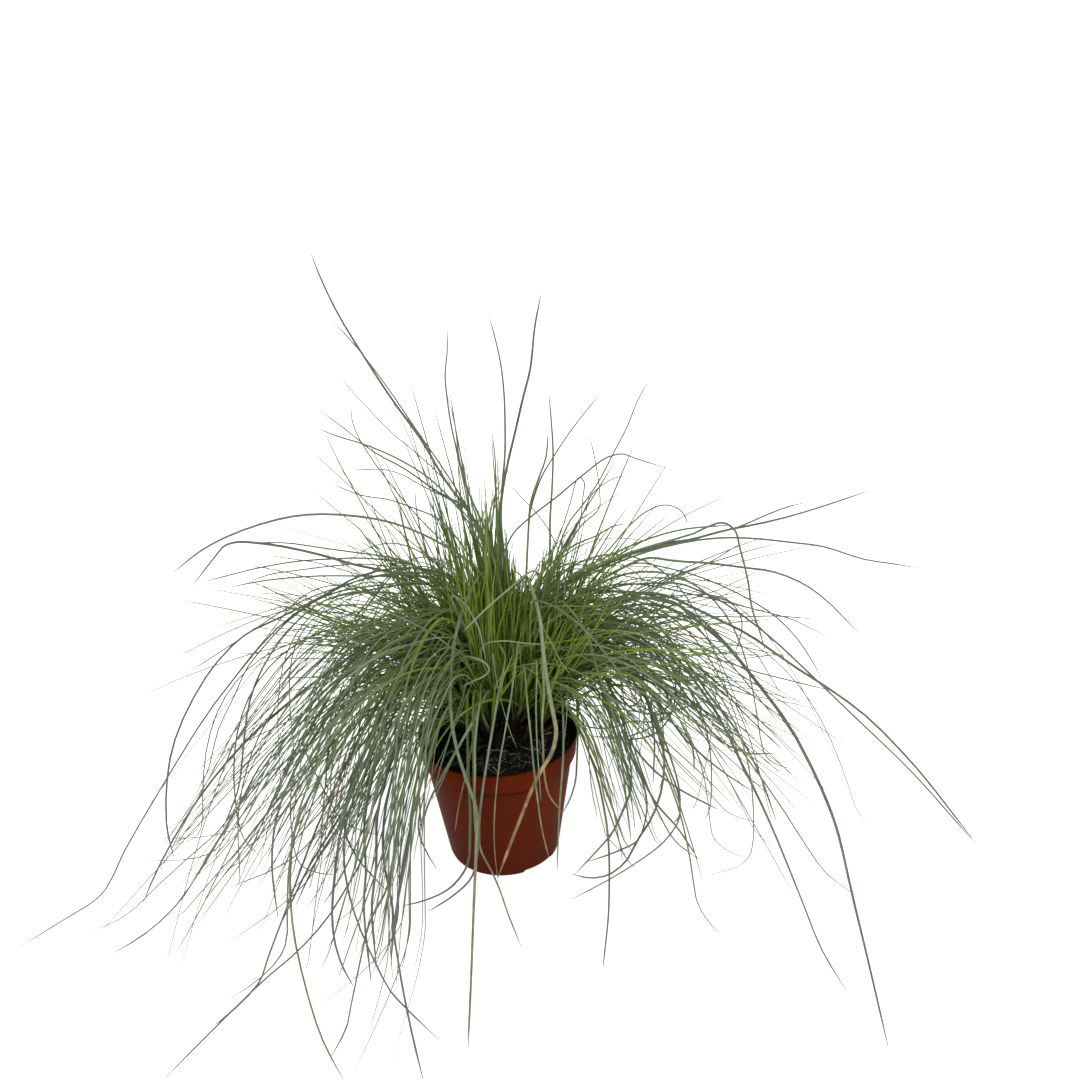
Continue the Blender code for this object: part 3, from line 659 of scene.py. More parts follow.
def stays_clear(path):
    """Whether a blade leaves open the pot's front and the gap between the heart's brushes."""
    x, y = path[:, 0], path[:, 1]
    low = seen_height(path, -RIM_RADIUS) < POT_HEIGHT
    if ((x > OPEN_FRONT[0]) & (x < OPEN_FRONT[1]) & (y < 0) & low).any():
        return False
    up = (seen_height(path, 0) - GAP_FOOT) / GAP_HEIGHT
    within = (x > GAP_X - GAP_LEFT * up) & (x < GAP_X + GAP_RIGHT * up)
    return not (within & (up > 0) & (up < GAP_END)).any()


def crown_middle():
    """Centre of the sphere that the crown's dome is a cap of."""
    return np.array([*CROWN_CENTRE, CROWN_TOP - CROWN_SPHERE])


def foot_of(shoot):
    """Where a shoot's blades are rooted in the crown."""
    return shoot["base"] - ROOT_DEPTH * shoot["axis"]


def plant_shoots(rng):
    """Stand the sheaths on the crown in a sunflower pattern, with few on the open side."""
    centre = crown_middle()
    shoots = []
    n = 0
    while len(shoots) < SHOOTS:
        lean = OUTER_LEAN * min(math.sqrt((n + 0.5) / PATTERN_SIZE), 1.02)
        azimuth = (n * GOLDEN_ANGLE + 0.3) % math.tau
        n += 1
        share = 1 - 0.85 * openness(azimuth) * min(1, lean / math.radians(20))
        if rng.random() > share:
            continue
        axis = towards(azimuth, lean)
        base = centre + (CROWN_SPHERE + GAP) * axis
        length = rng.uniform(*SHEATH_LENGTH) * (1.1 - 0.45 * lean)
        blades = 4 if rng.random() < FULL_SHOOTS else 3
        shoots.append({"azimuth": azimuth, "lean": lean, "axis": axis, "base": base,
                       "top": base + length * axis, "room": blades, "lines": [], "blades": [],
                       "fine": [], "traced": []})
    return shoots


def place_blade(shoot, draw, thicket, shown=True):
    """Grow a blade on a shoot if it stays clear of everything that is there already."""
    path = blade_path(shoot["top"], *draw)
    line, _ = resample(path, BLADE_RINGS + 1)
    radii = BLADE_RADIUS * np.linspace(1, TIP_SCALE, len(line))
    if meets_pot(line[1:]):
        return False
    probe = line.copy()
    probe[0] = line[0] + SPLIT_SHARE * (line[1] - line[0])
    if not thicket.is_free(probe, radii):
        return False
    for other in shoot["lines"]:
        for k in range(1, len(line) - 1):
            apart = segment_distances(line[k], line[k + 1], other[1:-1], other[2:])
            if (apart < 2 * BLADE_RADIUS + CLEARANCE).any():
                return False
    shoot["lines"].append(line)
    if shown and stays_clear(path):
        shoot["blades"].append(blade_path(shoot["top"], *draw, FINE_LANDING))
    thicket.add(probe, radii)
    return True


def place_leader(shoots, leader, thicket):
    """Grow a leader on the shoot that points most nearly its way."""
    azimuth, reach, height, lean, curl = leader
    lean = math.radians(lean)
    curl = math.radians(curl)
    tip = reach * MM * radial(math.radians(azimuth)) + np.array([0, 0, height * MM])
    way = towards(math.radians(azimuth), lean)

    def misfit(shoot):
        return math.acos(min(1, way @ shoot["axis"])) + LEADER_CROWDING * len(shoot["lines"])

    for shoot in sorted(shoots, key=misfit):
        if len(shoot["lines"]) < shoot["room"]:
            root = shoot["top"]
            droop, length = reach_tip(root, tip, lean, curl)
            heading = math.atan2(tip[1] - root[1], tip[0] - root[0])
            if place_blade(shoot, (heading, 0.0, lean, droop, curl, length), thicket, shown=False):
                return


def draw_blade(shoot, rng):
    """Draw a blade that suits its shoot: upright near the middle, hanging round the outside."""
    lean = math.degrees(shoot["lean"])
    azimuth = shoot["azimuth"] + math.radians(rng.normal(0, 14 + 70 * math.exp(-lean / 9)))
    if rng.random() < 0.8 * openness(azimuth):
        azimuth += math.radians(rng.choice([-1, 1]) * rng.uniform(30, 75))
    back = nearness(azimuth, BACK_SIDE, BACK_WIDTH)
    upright = (0.7 + 0.6 * back) * np.interp(lean, [8, 16, 26, 36], [0.6, 0.28, 0.12, 0.06])
    skirt = np.interp(lean, [20, 34], [0.04, 0.34])
    kind = rng.random()
    if kind < upright:
        start = rng.uniform(0, 12) + 0.5 * lean
        end = start + rng.uniform(0, 45)
        length = rng.uniform(90, 165) * (1 + 0.5 * back * rng.random())
    elif kind < upright + skirt:
        start = rng.uniform(28, 62)
        end = rng.uniform(158, 179)
        length = rng.uniform(110, 240)
    elif kind < upright + skirt + 0.16:
        start = lean * rng.uniform(0.5, 1.0) + rng.uniform(0, 12)
        end = rng.uniform(95, 130)
        length = rng.uniform(160, 260)
    else:
        start = lean * rng.uniform(0.2, 0.75) + rng.uniform(0, 9)
        end = rng.uniform(146, 179)
        length = rng.uniform(180, 335)
    length *= 1 - 0.18 * back
    sweep = math.radians(rng.normal(0, 30))
    curl = math.radians(rng.normal(0, 8))
    return azimuth, sweep, math.radians(start), math.radians(end - start), curl, length * MM


def grow():
    """Plant the shoots, then grow their leaders and the rest of their main blades."""
    rng = np.random.default_rng(SEED)
    thicket = Thicket()
    shoots = plant_shoots(rng)
    for shoot in shoots:
        thicket.add(np.array([shoot["base"], shoot["top"]]), np.array([SHEATH_RADIUS, SHEATH_RADIUS]))
    for leader in LEADERS:
        place_leader(shoots, leader, thicket)
    for shoot in shoots:
        tries = 0
        while len(shoot["lines"]) < shoot["room"] and tries < TRIES:
            place_blade(shoot, draw_blade(shoot, rng), thicket)
            tries += 1
    return shoots


def draw_tuft(family, rng):
    """How a tuft grows: its azimuth, lean, tip tilt, length, sweep, and where and how fast it bends."""
    azimuth = rng.normal(family.heads, family.spread * (STRAY_SPREAD if rng.random() < STRAY_TUFTS else 1))
    return np.array([azimuth, rng.uniform(*family.lean), rng.uniform(*family.tip),
                     rng.uniform(*family.length), rng.normal(0, 15),
                     family.bend + rng.normal(0, 0.05), rng.uniform(0.3, 0.6)])


def tuft_blade(root, tuft, rng):
    """A fine blade's path: up, over in one bend and nearly straight on, with a slight kink or two."""
    varied = tuft + rng.normal(0, 1, 7) * TUFT_VARIETY
    azimuth, lean, tip, sweep = np.radians(varied[[0, 1, 2, 4]])
    length = tuft[3] * rng.uniform(0.7, 1.12) * MM
    place, width = varied[5:]
    u = MID_STEPS
    s = np.clip((u - place) / width + 0.5, 0, 1)
    tilt = lean + (tip - lean) * (0.88 * s * s * (3 - 2 * s) + 0.12 * u)
    heading = azimuth + sweep * (u - 0.5)
    for at in rng.uniform(0.25, 0.95, 2):
        tilt += math.radians(rng.normal(0, 4)) * (u > at)
        heading += math.radians(rng.normal(0, 7)) * (u > at)
    if rng.random() < KINKED_BLADES:
        tilt += math.radians(rng.uniform(20, 55)) * (u > rng.uniform(0.4, 0.85))
    return walk(root, heading, tilt, length, FINE_LANDING)


def within_reach(path):
    """Whether a finer blade stays within the reach of the main ones."""
    return (path.max(axis=0) < REACH[1]).all() and (path.min(axis=0) > REACH[0]).all()


def add_families(shoots):
    """Grow the tufts of finer blades, each from beside the sheath of a shoot that heads its way."""
    for number, family in enumerate(FAMILIES.values()):
        rng = np.random.default_rng([SEED, number])
        for _ in range(family.tufts):
            tuft = draw_tuft(family, rng)
            way = towards(math.radians(tuft[0]), math.radians(tuft[1]) + 0.15)
            order = sorted(shoots, key=lambda shoot: -(way @ shoot["axis"]))
            shoot = order[int(rng.integers(0, NEAREST_SHOOTS))]
            beside = rng.uniform(1.5, 4) * MM * radial(rng.uniform(0, math.tau))
            young = rng.random() < family.young
            for _ in range(int(rng.integers(family.blades[0], family.blades[1] + 1))):
                apart = rng.uniform(0.3, 1.2) * MM * radial(rng.uniform(0, math.tau))
                root = shoot["base"] + beside + apart - ROOT_DEPTH * shoot["axis"]
                path = tuft_blade(root, tuft, rng)
                if not meets_pot(path[ROOT_STEPS:]) and within_reach(path) and stays_clear(path):
                    shoot["fine"].append((path, young))


# Blades traced from the photograph

def camera_axes():
    """The camera's directions: to the right, up and ahead."""
    ahead = np.array([0, math.cos(CAMERA_PITCH), -math.sin(CAMERA_PITCH)])
    level = np.array([1.0, 0, 0])
    upright = np.cross(level, ahead)
    right = math.cos(CAMERA_ROLL) * level + math.sin(CAMERA_ROLL) * upright
    up = math.cos(CAMERA_ROLL) * upright - math.sin(CAMERA_ROLL) * level
    return right, up, ahead


def seen_at(pixel, depth):
    """The place seen through a pixel at a depth behind the pot's axis, or on the floor before it."""
    right, up, ahead = camera_axes()
    across, down = (np.array(pixel) - FRAME_PIXELS / 2) / FOCAL_PIXELS
    way = ahead + across * right - down * up
    eye = np.array(CAMERA_PLACE)
    to_depth = (depth - eye[1]) / way[1]
    to_floor = (FLOOR_LIFT - eye[2]) / way[2]
    return eye + (to_depth + to_floor - math.hypot(to_depth - to_floor, SETTLING)) / 2 * way


def through(knots):
    """A smooth line through knots, in even steps."""
    knots = np.array(knots)
    spans = np.linalg.norm(np.diff(knots, axis=0), axis=1)[:, None]
    slopes = np.diff(knots, axis=0) / spans
    inner = (spans[1:] * slopes[:-1] + spans[:-1] * slopes[1:]) / (spans[1:] + spans[:-1])
    tangents = np.vstack([slopes[:1], inner, slopes[-1:]])
    starts = np.concatenate([[0], np.cumsum(spans)])
    at = np.linspace(0, starts[-1], 2 * PATH_STEPS)
    k = np.clip(np.searchsorted(starts, at, side="right") - 1, 0, len(spans) - 1)
    u = (at[:, None] - starts[k, None]) / spans[k]
    return ((1 + 2 * u) * (1 - u) ** 2 * knots[k] + u * (1 - u) ** 2 * spans[k] * tangents[k]
            + (3 - 2 * u) * u * u * knots[k + 1] - (1 - u) * u * u * spans[k] * tangents[k + 1])


def traced_path(blade, shoot):
    """A traced blade: up beside its sheath, then through the places that its way shows."""
    way = np.array(blade.way, float)
    travelled = np.concatenate([[0], np.cumsum(np.linalg.norm(np.diff(way, axis=0), axis=1))])
    marks = np.linspace(0, travelled[-1], len(blade.depths))
    depths = np.interp(travelled, marks, blade.depths) * MM
    above = shoot["base"] + 0.6 * (shoot["top"] - shoot["base"])
    return through([foot_of(shoot), above] + [seen_at(pixel, depth) for pixel, depth in zip(way, depths)])


def add_traced(shoots):
    """Grow each traced blade from a shoot that points to where it leaves the mass."""
    for blade in TRACED + TRACED_IN_FRONT:
        start = seen_at(blade.way[0], blade.depths[0] * MM)

        def misfit(shoot):
            way = start - shoot["base"]
            off = math.acos(min(1, way @ shoot["axis"] / np.linalg.norm(way)))
            return off + TRACED_CROWDING * len(shoot["traced"])

        shoot = min(shoots, key=misfit)
        shoot["traced"].append((traced_path(blade, shoot), blade))


# Blades as meshes

# Greatest half widths, how far a blade sways, and the blade length at which its colour is oldest
SHEATH_WIDTH = 1.25 * MM
MAIN_WIDTHS = (0.55 * MM, 0.78 * MM)
FINE_WIDTHS = (0.42 * MM, 0.66 * MM)
SWAY = 1.2 * MM
LEAF_LENGTH = 280 * MM

# How dry blades are, and the share of them that is straw
FRESH_DRYNESS = (0, 0.12)
STRAW_DRYNESS = 0.7
STRAW_BLADES = 0.04

TracedLook = namedtuple("TracedLook", "share young bloom")

# Traced blades among the others, and those in front, which have the palest wax: half width as a
# share of the width in the table, share of its young green, and least and greatest wax bloom
TRACED_LOOK = TracedLook(0.58, 1, (0, 0.3))
FRONT_LOOK = TracedLook(0.52, 0.4, (0.8, 1))

# A folded leaf's section, for a half width of 1: a keel below and a groove along its upper side
LEAF_SECTION = [
    (0.0, 0.2),
    (-0.62, 0.62),
    (-1.0, 0.1),
    (-0.45, -0.62),
    (0.45, -0.62),
    (1.0, 0.1),
    (0.62, 0.62),
]


def smooth_line(line, passes):
    for _ in range(passes):
        line[1:-1] = (line[:-2] + 2 * line[1:-1] + line[2:]) / 4
    return line


def rooted(shoot, path):
    """A main blade's path, with the part that runs up inside its sheath."""
    inside = np.linspace(foot_of(shoot), shoot["top"], 9)[:-1]
    return smooth_line(np.vstack([inside, path]), 6)


def wander(line, sway, rng):
    """Let a blade sway sideways a little more the further it is from its root."""
    u = np.linspace(0, 1, len(line))
    way = line[-1] - line[0]
    side = np.array([-way[1], way[0], 0.0])
    side /= max(np.linalg.norm(side), MM)
    phase = rng.uniform(0, math.tau, 2)
    wave = np.sin(u * rng.uniform(4, 8) + phase[0]) + 0.4 * np.sin(u * rng.uniform(11, 19) + phase[1])
    wave -= wave[0]
    return line + (sway * rng.normal() * wave * u)[:, None] * side


def section_frames(places, turn, twist):
    """Cross directions at each ring: level at the root, then carried along and twisted."""
    points = [Vector(p) for p in places]
    ways = [(b - a).normalized() for a, b in zip(points, points[1:])]
    tangents = [ways[0]] + [(a + b).normalized() for a, b in zip(ways, ways[1:])] + [ways[-1]]
    heading = points[-1] - points[0]
    across = Vector((-heading.y, heading.x, 0)) if heading.xy.length > MM else Vector((1, 0, 0))
    frames = []
    for k, tangent in enumerate(tangents):
        across = (across - across.dot(tangent) * tangent).normalized()
        beside = tangent.cross(across)
        angle = turn + twist * k / len(tangents)
        frames.append((math.cos(angle) * across + math.sin(angle) * beside,
                       math.cos(angle) * beside - math.sin(angle) * across))
    return frames


def leaf_widths(rings, tip):
    """Half widths along a blade as shares of the greatest: a narrow foot and a long fine point."""
    u = np.linspace(0, 1, rings)
    widths = np.minimum(0.8 + 1.2 * u, 1) * (tip + (1 - tip) * (1 - u ** 3.4) ** 0.85)
    widths[-1] *= 0.4
    return widths


def make_blades(name, blades, material):
    """One mesh of many blades, each as leaf gives it: its section is drawn out along its line, ring
    by ring. Each vertex keeps the blade's hue, dryness and wax bloom, how far along the blade it lies
    as a share of the blade's own length, and how far from the root as a share of LEAF_LENGTH.
    """
    bm = bmesh.new()
    along = bm.verts.layers.float.new("along")
    from_root = bm.verts.layers.float.new("from_root")
    hue = bm.verts.layers.float.new("hue")
    dry = bm.verts.layers.float.new("dry")
    bloom = bm.verts.layers.float.new("bloom")
    which = bm.faces.layers.int.new("which")
    groups = {}
    for blade in blades:
        groups.setdefault(blade["rings"], []).append(blade)
    for rings, group in groups.items():
        tips = []
        drawn = []
        for blade in group:
            section = bmesh.ops.create_circle(bm, cap_ends=True, segments=len(LEAF_SECTION), radius=MM)
            tips.append(section["verts"][0].link_faces[0])
            tips[-1][which] = len(drawn)
            places, travelled = resample(blade["line"], rings)
            widths = [float(w) for w in blade["width"] * leaf_widths(rings, blade["tip"])]
            drawn.append((blade, [Vector(p) for p in places], travelled, widths,
                          section_frames(places, blade["turn"], blade["twist"])))
        for ring in range(rings):
            if ring:
                tips = bmesh.ops.extrude_discrete_faces(bm, faces=tips)["faces"]
            for face in tips:
                blade, places, travelled, widths, frames = drawn[face[which]]
                across, beside = frames[ring]
                for vert, (a, b) in zip(face.verts, LEAF_SECTION):
                    vert.co = places[ring] + widths[ring] * (a * across + blade["fold"] * b * beside)
                    vert[along] = travelled[ring] / travelled[-1]
                    vert[from_root] = travelled[ring] / LEAF_LENGTH
                    vert[hue] = blade["hue"]
                    vert[dry] = blade["dry"]
                    vert[bloom] = blade["bloom"]
    bmesh.ops.holes_fill(bm, edges=bm.edges[:], sides=len(LEAF_SECTION))
    bm.faces.layers.int.remove(which)
    return finish_piece(name, bm, material, 60)


def finish_piece(name, bm, material, sharp_degrees):
    """Turn a finished bmesh into a piece in the row frame, facing outwards and shaded smooth."""
    bmesh.ops.recalc_face_normals(bm, faces=bm.faces[:])
    mesh = bpy.data.meshes.new(name)
    bm.to_mesh(mesh)
    bm.free()
    mesh.materials.append(material)
    mesh.shade_smooth()
    mesh.set_sharp_from_angle(angle=math.radians(sharp_degrees))
    piece = bpy.data.objects.new(name, mesh)
    bpy.context.scene.collection.objects.link(piece)
    return piece


def leaf(line, width, rng, rings=24, tip=0.45, fold=0.9, hue=0.5, dry=0.0, bloom=None):
    """A blade: its line, greatest half width, rings, tip's share of the width, depth of its fold,
    hue, dryness and wax bloom, and how it is turned and twisted."""
    return {"line": line, "width": width, "rings": rings, "tip": tip, "fold": fold, "hue": hue,
            "dry": dry, "bloom": rng.random() if bloom is None else bloom,
            "turn": rng.normal(0, 0.5), "twist": rng.normal(0, 1.2)}


def shoot_blades(shoot, rng):
    """All that grows from one sheath: the sheath, its main blades, the fine and the traced ones."""
    sheath = np.linspace(foot_of(shoot), shoot["top"], 12)
    blades = [leaf(sheath, SHEATH_WIDTH, rng, rings=8, tip=0.75, fold=1.1, hue=rng.uniform(0.6, 1),
                   dry=rng.uniform(0.35, 0.75))]
    for path in shoot["blades"]:
        line = wander(rooted(shoot, path), SWAY, rng)
        blades.append(leaf(line, rng.uniform(*MAIN_WIDTHS), rng, rings=28, hue=rng.uniform(0.1, 0.7),
                           dry=draw_dryness(rng)))
    for path, young in shoot["fine"]:
        line = wander(path, SWAY, rng)
        hue = rng.uniform(0.75, 1) if young else rng.uniform(0, 0.4)
        blades.append(leaf(line, rng.uniform(*FINE_WIDTHS), rng, hue=hue, dry=draw_dryness(rng),
                           bloom=rng.random() * (0.25 if young else 0.8)))
    for path, traced in shoot["traced"]:
        look = FRONT_LOOK if traced in TRACED_IN_FRONT else TRACED_LOOK
        blades.append(leaf(path, look.share * traced.width * MM, rng, rings=34, tip=0.62,
                           hue=look.young * traced.young, dry=traced.dry, bloom=rng.uniform(*look.bloom)))
    return blades


def draw_dryness(rng):
    """Most blades are fresh and a few are straw."""
    return STRAW_DRYNESS if rng.random() < STRAW_BLADES else rng.uniform(*FRESH_DRYNESS)


# Pot

def turn_profile(bm, profile, sides):
    """Turn an open (radius, height) profile round Z and close its two ends with flat faces."""
    points = [bm.verts.new((r, 0, z)) for r, z in profile]
    edges = [bm.edges.new(pair) for pair in zip(points, points[1:])]
    bmesh.ops.spin(bm, geom=points + edges, cent=(0, 0, 0), axis=(0, 0, 1), angle=math.tau,
                   steps=sides, use_merge=True)
    bmesh.ops.holes_fill(bm, edges=bm.edges[:], sides=sides)


def pot_profile():
    """Half section of the pot, from the disc under its base, out and up, then down the inside."""
    band_foot = POT_HEIGHT - BAND_HEIGHT
    corner_top = BASE_CORNER * 1.1
    slope = (BODY_TOP_RADIUS - BASE_RADIUS) / (band_foot - corner_top)
    floor = FOOT_HEIGHT + WALL
    return [
        (BASE_DISC_RADIUS, 0),
        (BASE_DISC_RADIUS + FOOT_HEIGHT / 2, FOOT_HEIGHT),
        (BASE_RADIUS - BASE_CORNER / 2 - FOOT_WIDTH, FOOT_HEIGHT),
        (BASE_RADIUS - BASE_CORNER / 2 - FOOT_WIDTH, 0),
        (BASE_RADIUS - BASE_CORNER / 2, 0),
        (BASE_RADIUS - BASE_CORNER / 6, BASE_CORNER * 0.4),
        (BASE_RADIUS, corner_top),
        (BODY_TOP_RADIUS, band_foot),
        (BODY_TOP_RADIUS + BAND_STEP, band_foot + WALL / 2),
        (RIM_RADIUS, POT_HEIGHT),
        (RIM_RADIUS - WALL, POT_HEIGHT),
        (BODY_TOP_RADIUS + BAND_STEP - WALL, band_foot + 1.8 * WALL),
        (BODY_TOP_RADIUS - WALL, band_foot + WALL),
        (BASE_RADIUS + slope * (floor - corner_top) - WALL, floor),
    ]


def make_pot(material):
    """The moulded pot: a finely turned wall with softened edges, drain holes and foot notches."""
    bm = bmesh.new()
    turn_profile(bm, pot_profile(), POT_SIDES)
    bmesh.ops.recalc_face_normals(bm, faces=bm.faces[:])
    rings = [e for e in bm.edges if abs(e.verts[0].co.z - e.verts[1].co.z) < GAP / 10
             and e.calc_face_angle(0) > math.radians(25)]
    bmesh.ops.bevel(bm, geom=rings, offset=EDGE_ROUNDING, offset_type="OFFSET", segments=3, profile=0.5,
                    affect="EDGES", material=-1, clamp_overlap=True)
    pot = finish_piece("nursery_pot", bm, material, 40)
    for cutter in (drain_cutter(), notch_cutter()):
        cut = pot.modifiers.new(cutter.name, "BOOLEAN")
        cut.operation = "DIFFERENCE"
        cut.solver = "EXACT"
        cut.object = cutter
    keep_shape(pot, 40)
    return pot


def make_cutter(name, bm):
    """A shape that is taken out of the pot and isn't a piece of its own."""
    mesh = bpy.data.meshes.new(name)
    bmesh.ops.recalc_face_normals(bm, faces=bm.faces[:])
    bm.to_mesh(mesh)
    bm.free()
    cutter = bpy.data.objects.new(name, mesh)
    bpy.context.scene.collection.objects.link(cutter)
    return cutter


def drain_cutter():
    bm = bmesh.new()
    for k in range(DRAIN_HOLES):
        around = Matrix.Rotation(math.tau * (k + 0.5) / DRAIN_HOLES, 4, "Z")
        out = Matrix.Translation((DRAIN_CIRCLE, 0, FOOT_HEIGHT))
        bmesh.ops.create_cone(bm, cap_ends=True, cap_tris=False, segments=32, radius1=DRAIN_RADIUS,
                              radius2=DRAIN_RADIUS, depth=4 * WALL, matrix=around @ out)
    return make_cutter("drain_cutter", bm)


def notch_cutter():
    """Three notches with rounded upper corners, which let water out from under the foot."""
    bm = bmesh.new()
    height = FOOT_HEIGHT - GAP / 2
    for k in range(NOTCHES):
        around = Matrix.Rotation(FIRST_NOTCH + math.tau * k / NOTCHES, 4, "Z")
        out = Matrix.Translation((BASE_RADIUS - FOOT_WIDTH / 2, 0, 0))
        size = Matrix.Diagonal((3 * FOOT_WIDTH, NOTCH_WIDTH, 2 * height, 1))
        bmesh.ops.create_cube(bm, size=1, matrix=around @ out @ size)
    upper = [e for e in bm.edges if min(v.co.z for v in e.verts) > height / 2
             and e.calc_length() < 4 * FOOT_WIDTH]
    bmesh.ops.bevel(bm, geom=upper, offset=NOTCH_ROUNDING, offset_type="OFFSET", segments=4, profile=0.5,
                    affect="EDGES", material=-1, clamp_overlap=True)
    return make_cutter("notch_cutter", bm)


def keep_shape(piece, sharp_degrees):
    """Make a piece's modifiers its own mesh and remove the shapes they used."""
    shaped = bpy.data.meshes.new_from_object(piece.evaluated_get(bpy.context.evaluated_depsgraph_get()))
    used = [m.object for m in piece.modifiers]
    piece.modifiers.clear()
    piece.data = shaped
    shaped.shade_smooth()
    shaped.set_sharp_from_angle(angle=math.radians(sharp_degrees))
    for thing in used:
        bpy.data.objects.remove(thing, do_unlink=True)


# Peat

# How far out crumbs and rootlets lie, and the width and height of the peat's lumps and crumbs
PEAT_REACH = RIM_RADIUS - 4 * MM
LUMP_WIDTH = 9 * MM
LUMP_HEIGHT = 2.1 * MM
CRUMB_WIDTH = 2.6 * MM
CRUMB_HEIGHT = 1.1 * MM


def peat_height(across):
    """Height of the peat's surface at a distance from the pot's axis, before its lumps."""
    edge = RIM_RADIUS - WALL - GAP
    shoulder = (edge + SEAT_RADIUS) / 2 + MM
    return float(np.interp(across, [0, SEAT_RADIUS, shoulder, edge],
                           [COMPOST_SEAT, COMPOST_SEAT, COMPOST_SEAT - 2.8 * MM, COMPOST_EDGE]))


def lump(x, y):
    """Height of the peat's lumps and crumbs at a place."""
    coarse = noise.fractal(Vector((x, y, 0.031)) / LUMP_WIDTH, 0.8, 2.1, 3)
    fine = noise.fractal(Vector((x, y, 0.077)) / CRUMB_WIDTH, 0.7, 2.2, 3)
    return LUMP_HEIGHT * coarse + CRUMB_HEIGHT * fine


def make_peat(material):
    """Peat that fills the pot: its sides follow the wall, its top is lumpy."""
    bm = bmesh.new()
    inside = pot_profile()[::-1]
    draft = BAND_DRAFT / BAND_HEIGHT
    edge = RIM_RADIUS - WALL - draft * (POT_HEIGHT - COMPOST_EDGE) - GAP
    profile = [(BASE_DISC_RADIUS, inside[0][1] + GAP)]
    profile += [(r - GAP, z + GAP) for r, z in inside[:3]]
    profile += [(r, peat_height(r)) for r in np.linspace(edge, 0.6 * MM, PEAT_RINGS)]
    turn_profile(bm, profile, PEAT_SIDES)
    for vert in bm.verts:
        across = vert.co.xy.length
        if vert.co.z > inside[2][1] + 2 * GAP:
            fade = min(1, (edge - across) / (2 * MM))
            vert.co.z += fade * lump(vert.co.x, vert.co.y)
    return finish_piece("peat", bm, material, 70)


def make_crumbs(material, rng):
    """Crumbs of peat and bark that lie on the surface."""
    bm = bmesh.new()
    for _ in range(CRUMBS):
        across = PEAT_REACH * math.sqrt(rng.random())
        azimuth = rng.uniform(0, math.tau)
        size = rng.uniform(0.5, 1.7) * MM
        x = across * math.cos(azimuth)
        y = across * math.sin(azimuth)
        z = peat_height(across) + lump(x, y) + 0.3 * size
        turn = Matrix.Rotation(rng.uniform(0, math.tau), 4, rng.normal(size=3))
        shape = Matrix.Diagonal((*rng.uniform(0.6, 1.5, 3), 1))
        place = Matrix.Translation((x, y, z)) @ turn @ shape
        verts = bmesh.ops.create_icosphere(bm, subdivisions=1, radius=size, matrix=place)["verts"]
        for vert in verts:
            vert.co += Vector(rng.normal(0, 0.25 * size, 3))
    return finish_piece("peat_crumbs", bm, material, 30)


def make_rootlets(material, rng):
    """Fine pale roots and fibres that thread the peat's surface."""
    threads = []
    for _ in range(ROOTLETS):
        x, y = radial(rng.uniform(0, math.tau))[:2] * (RIM_RADIUS - 6 * MM) * math.sqrt(rng.random())
        heading = rng.uniform(0, math.tau)
        bend = rng.normal(0, 0.5)
        line = []
        for _ in range(int(rng.uniform(8, 20))):
            across = min(math.hypot(x, y), PEAT_REACH)
            lift = 0.35 * MM + abs(rng.normal(0, 0.35 * MM))
            line.append((x, y, peat_height(across) + lump(x, y) + lift))
            heading += bend * 0.3 + rng.normal(0, 0.25)
            x += 1.3 * MM * math.cos(heading)
            y += 1.3 * MM * math.sin(heading)
            if math.hypot(x, y) > PEAT_REACH:
                break
        if len(line) > 5:
            line = smooth_line(np.array(line), 2)
            threads.append(leaf(line, rng.uniform(0.12, 0.26) * MM, rng, rings=12, tip=0.4, fold=1.2,
                                hue=rng.random(), dry=rng.random()))
    return make_blades("rootlets", threads, material)


# Crown

def make_thatch(material, rng):
    """Dead leaves and sheath stubs that lie on the crown's dome."""
    leaves = []
    centre = crown_middle()
    for _ in range(THATCH_LEAVES):
        lean = math.acos(rng.uniform(math.cos(math.radians(41)), 1))
        azimuth = rng.uniform(0, math.tau)
        root = centre + (CROWN_SPHERE - 1 * MM) * towards(azimuth, lean)
        outward = math.atan2(root[1] - CROWN_CENTRE[1], root[0] - CROWN_CENTRE[0])
        start = lean + math.radians(rng.normal(0, 9))
        end = start + math.radians(rng.uniform(-8, 40))
        length = rng.uniform(6, 22) * MM
        u = np.linspace(0, 1, PATH_STEPS)
        heading = outward + rng.normal(0, 0.4) + rng.normal(0, 0.5) * u
        line = walk(root, heading, start + (end - start) * u, length)[::7]
        for place in line:
            across = math.hypot(place[0], place[1])
            place[2] = max(place[2], peat_height(across) + 0.8 * MM)
        leaves.append(leaf(wander(line, 0.8 * MM, rng), rng.uniform(0.4, 1.15) * MM, rng, rings=9,
                           tip=0.35, fold=0.55, hue=rng.random(), dry=rng.uniform(0.5, 1)))
    return make_blades("crown_thatch", leaves, material)


def make_crown_dome(material):
    """The old crown's rough dome, which the thatch and the shoots stand on."""
    bm = bmesh.new()
    bottom = COMPOST_SEAT + GAP
    centre = CROWN_TOP - CROWN_SPHERE
    widest = math.acos((bottom - centre) / CROWN_SPHERE)
    angles = [widest * k / CROWN_RINGS for k in range(CROWN_RINGS, 0, -1)]
    profile = [(CROWN_SPHERE * math.sin(a), centre + CROWN_SPHERE * math.cos(a)) for a in angles]
    turn_profile(bm, profile, CROWN_SIDES)
    bmesh.ops.translate(bm, verts=bm.verts[:], vec=(*CROWN_CENTRE, 0))
    for vert in bm.verts:
        if vert.co.z > bottom + GAP:
            vert.co.z += 0.8 * MM * noise.fractal(vert.co / (2.4 * MM), 0.7, 2.2, 3) - 0.8 * MM
    return finish_piece("crown_base", bm, material, 60)


# Finishes

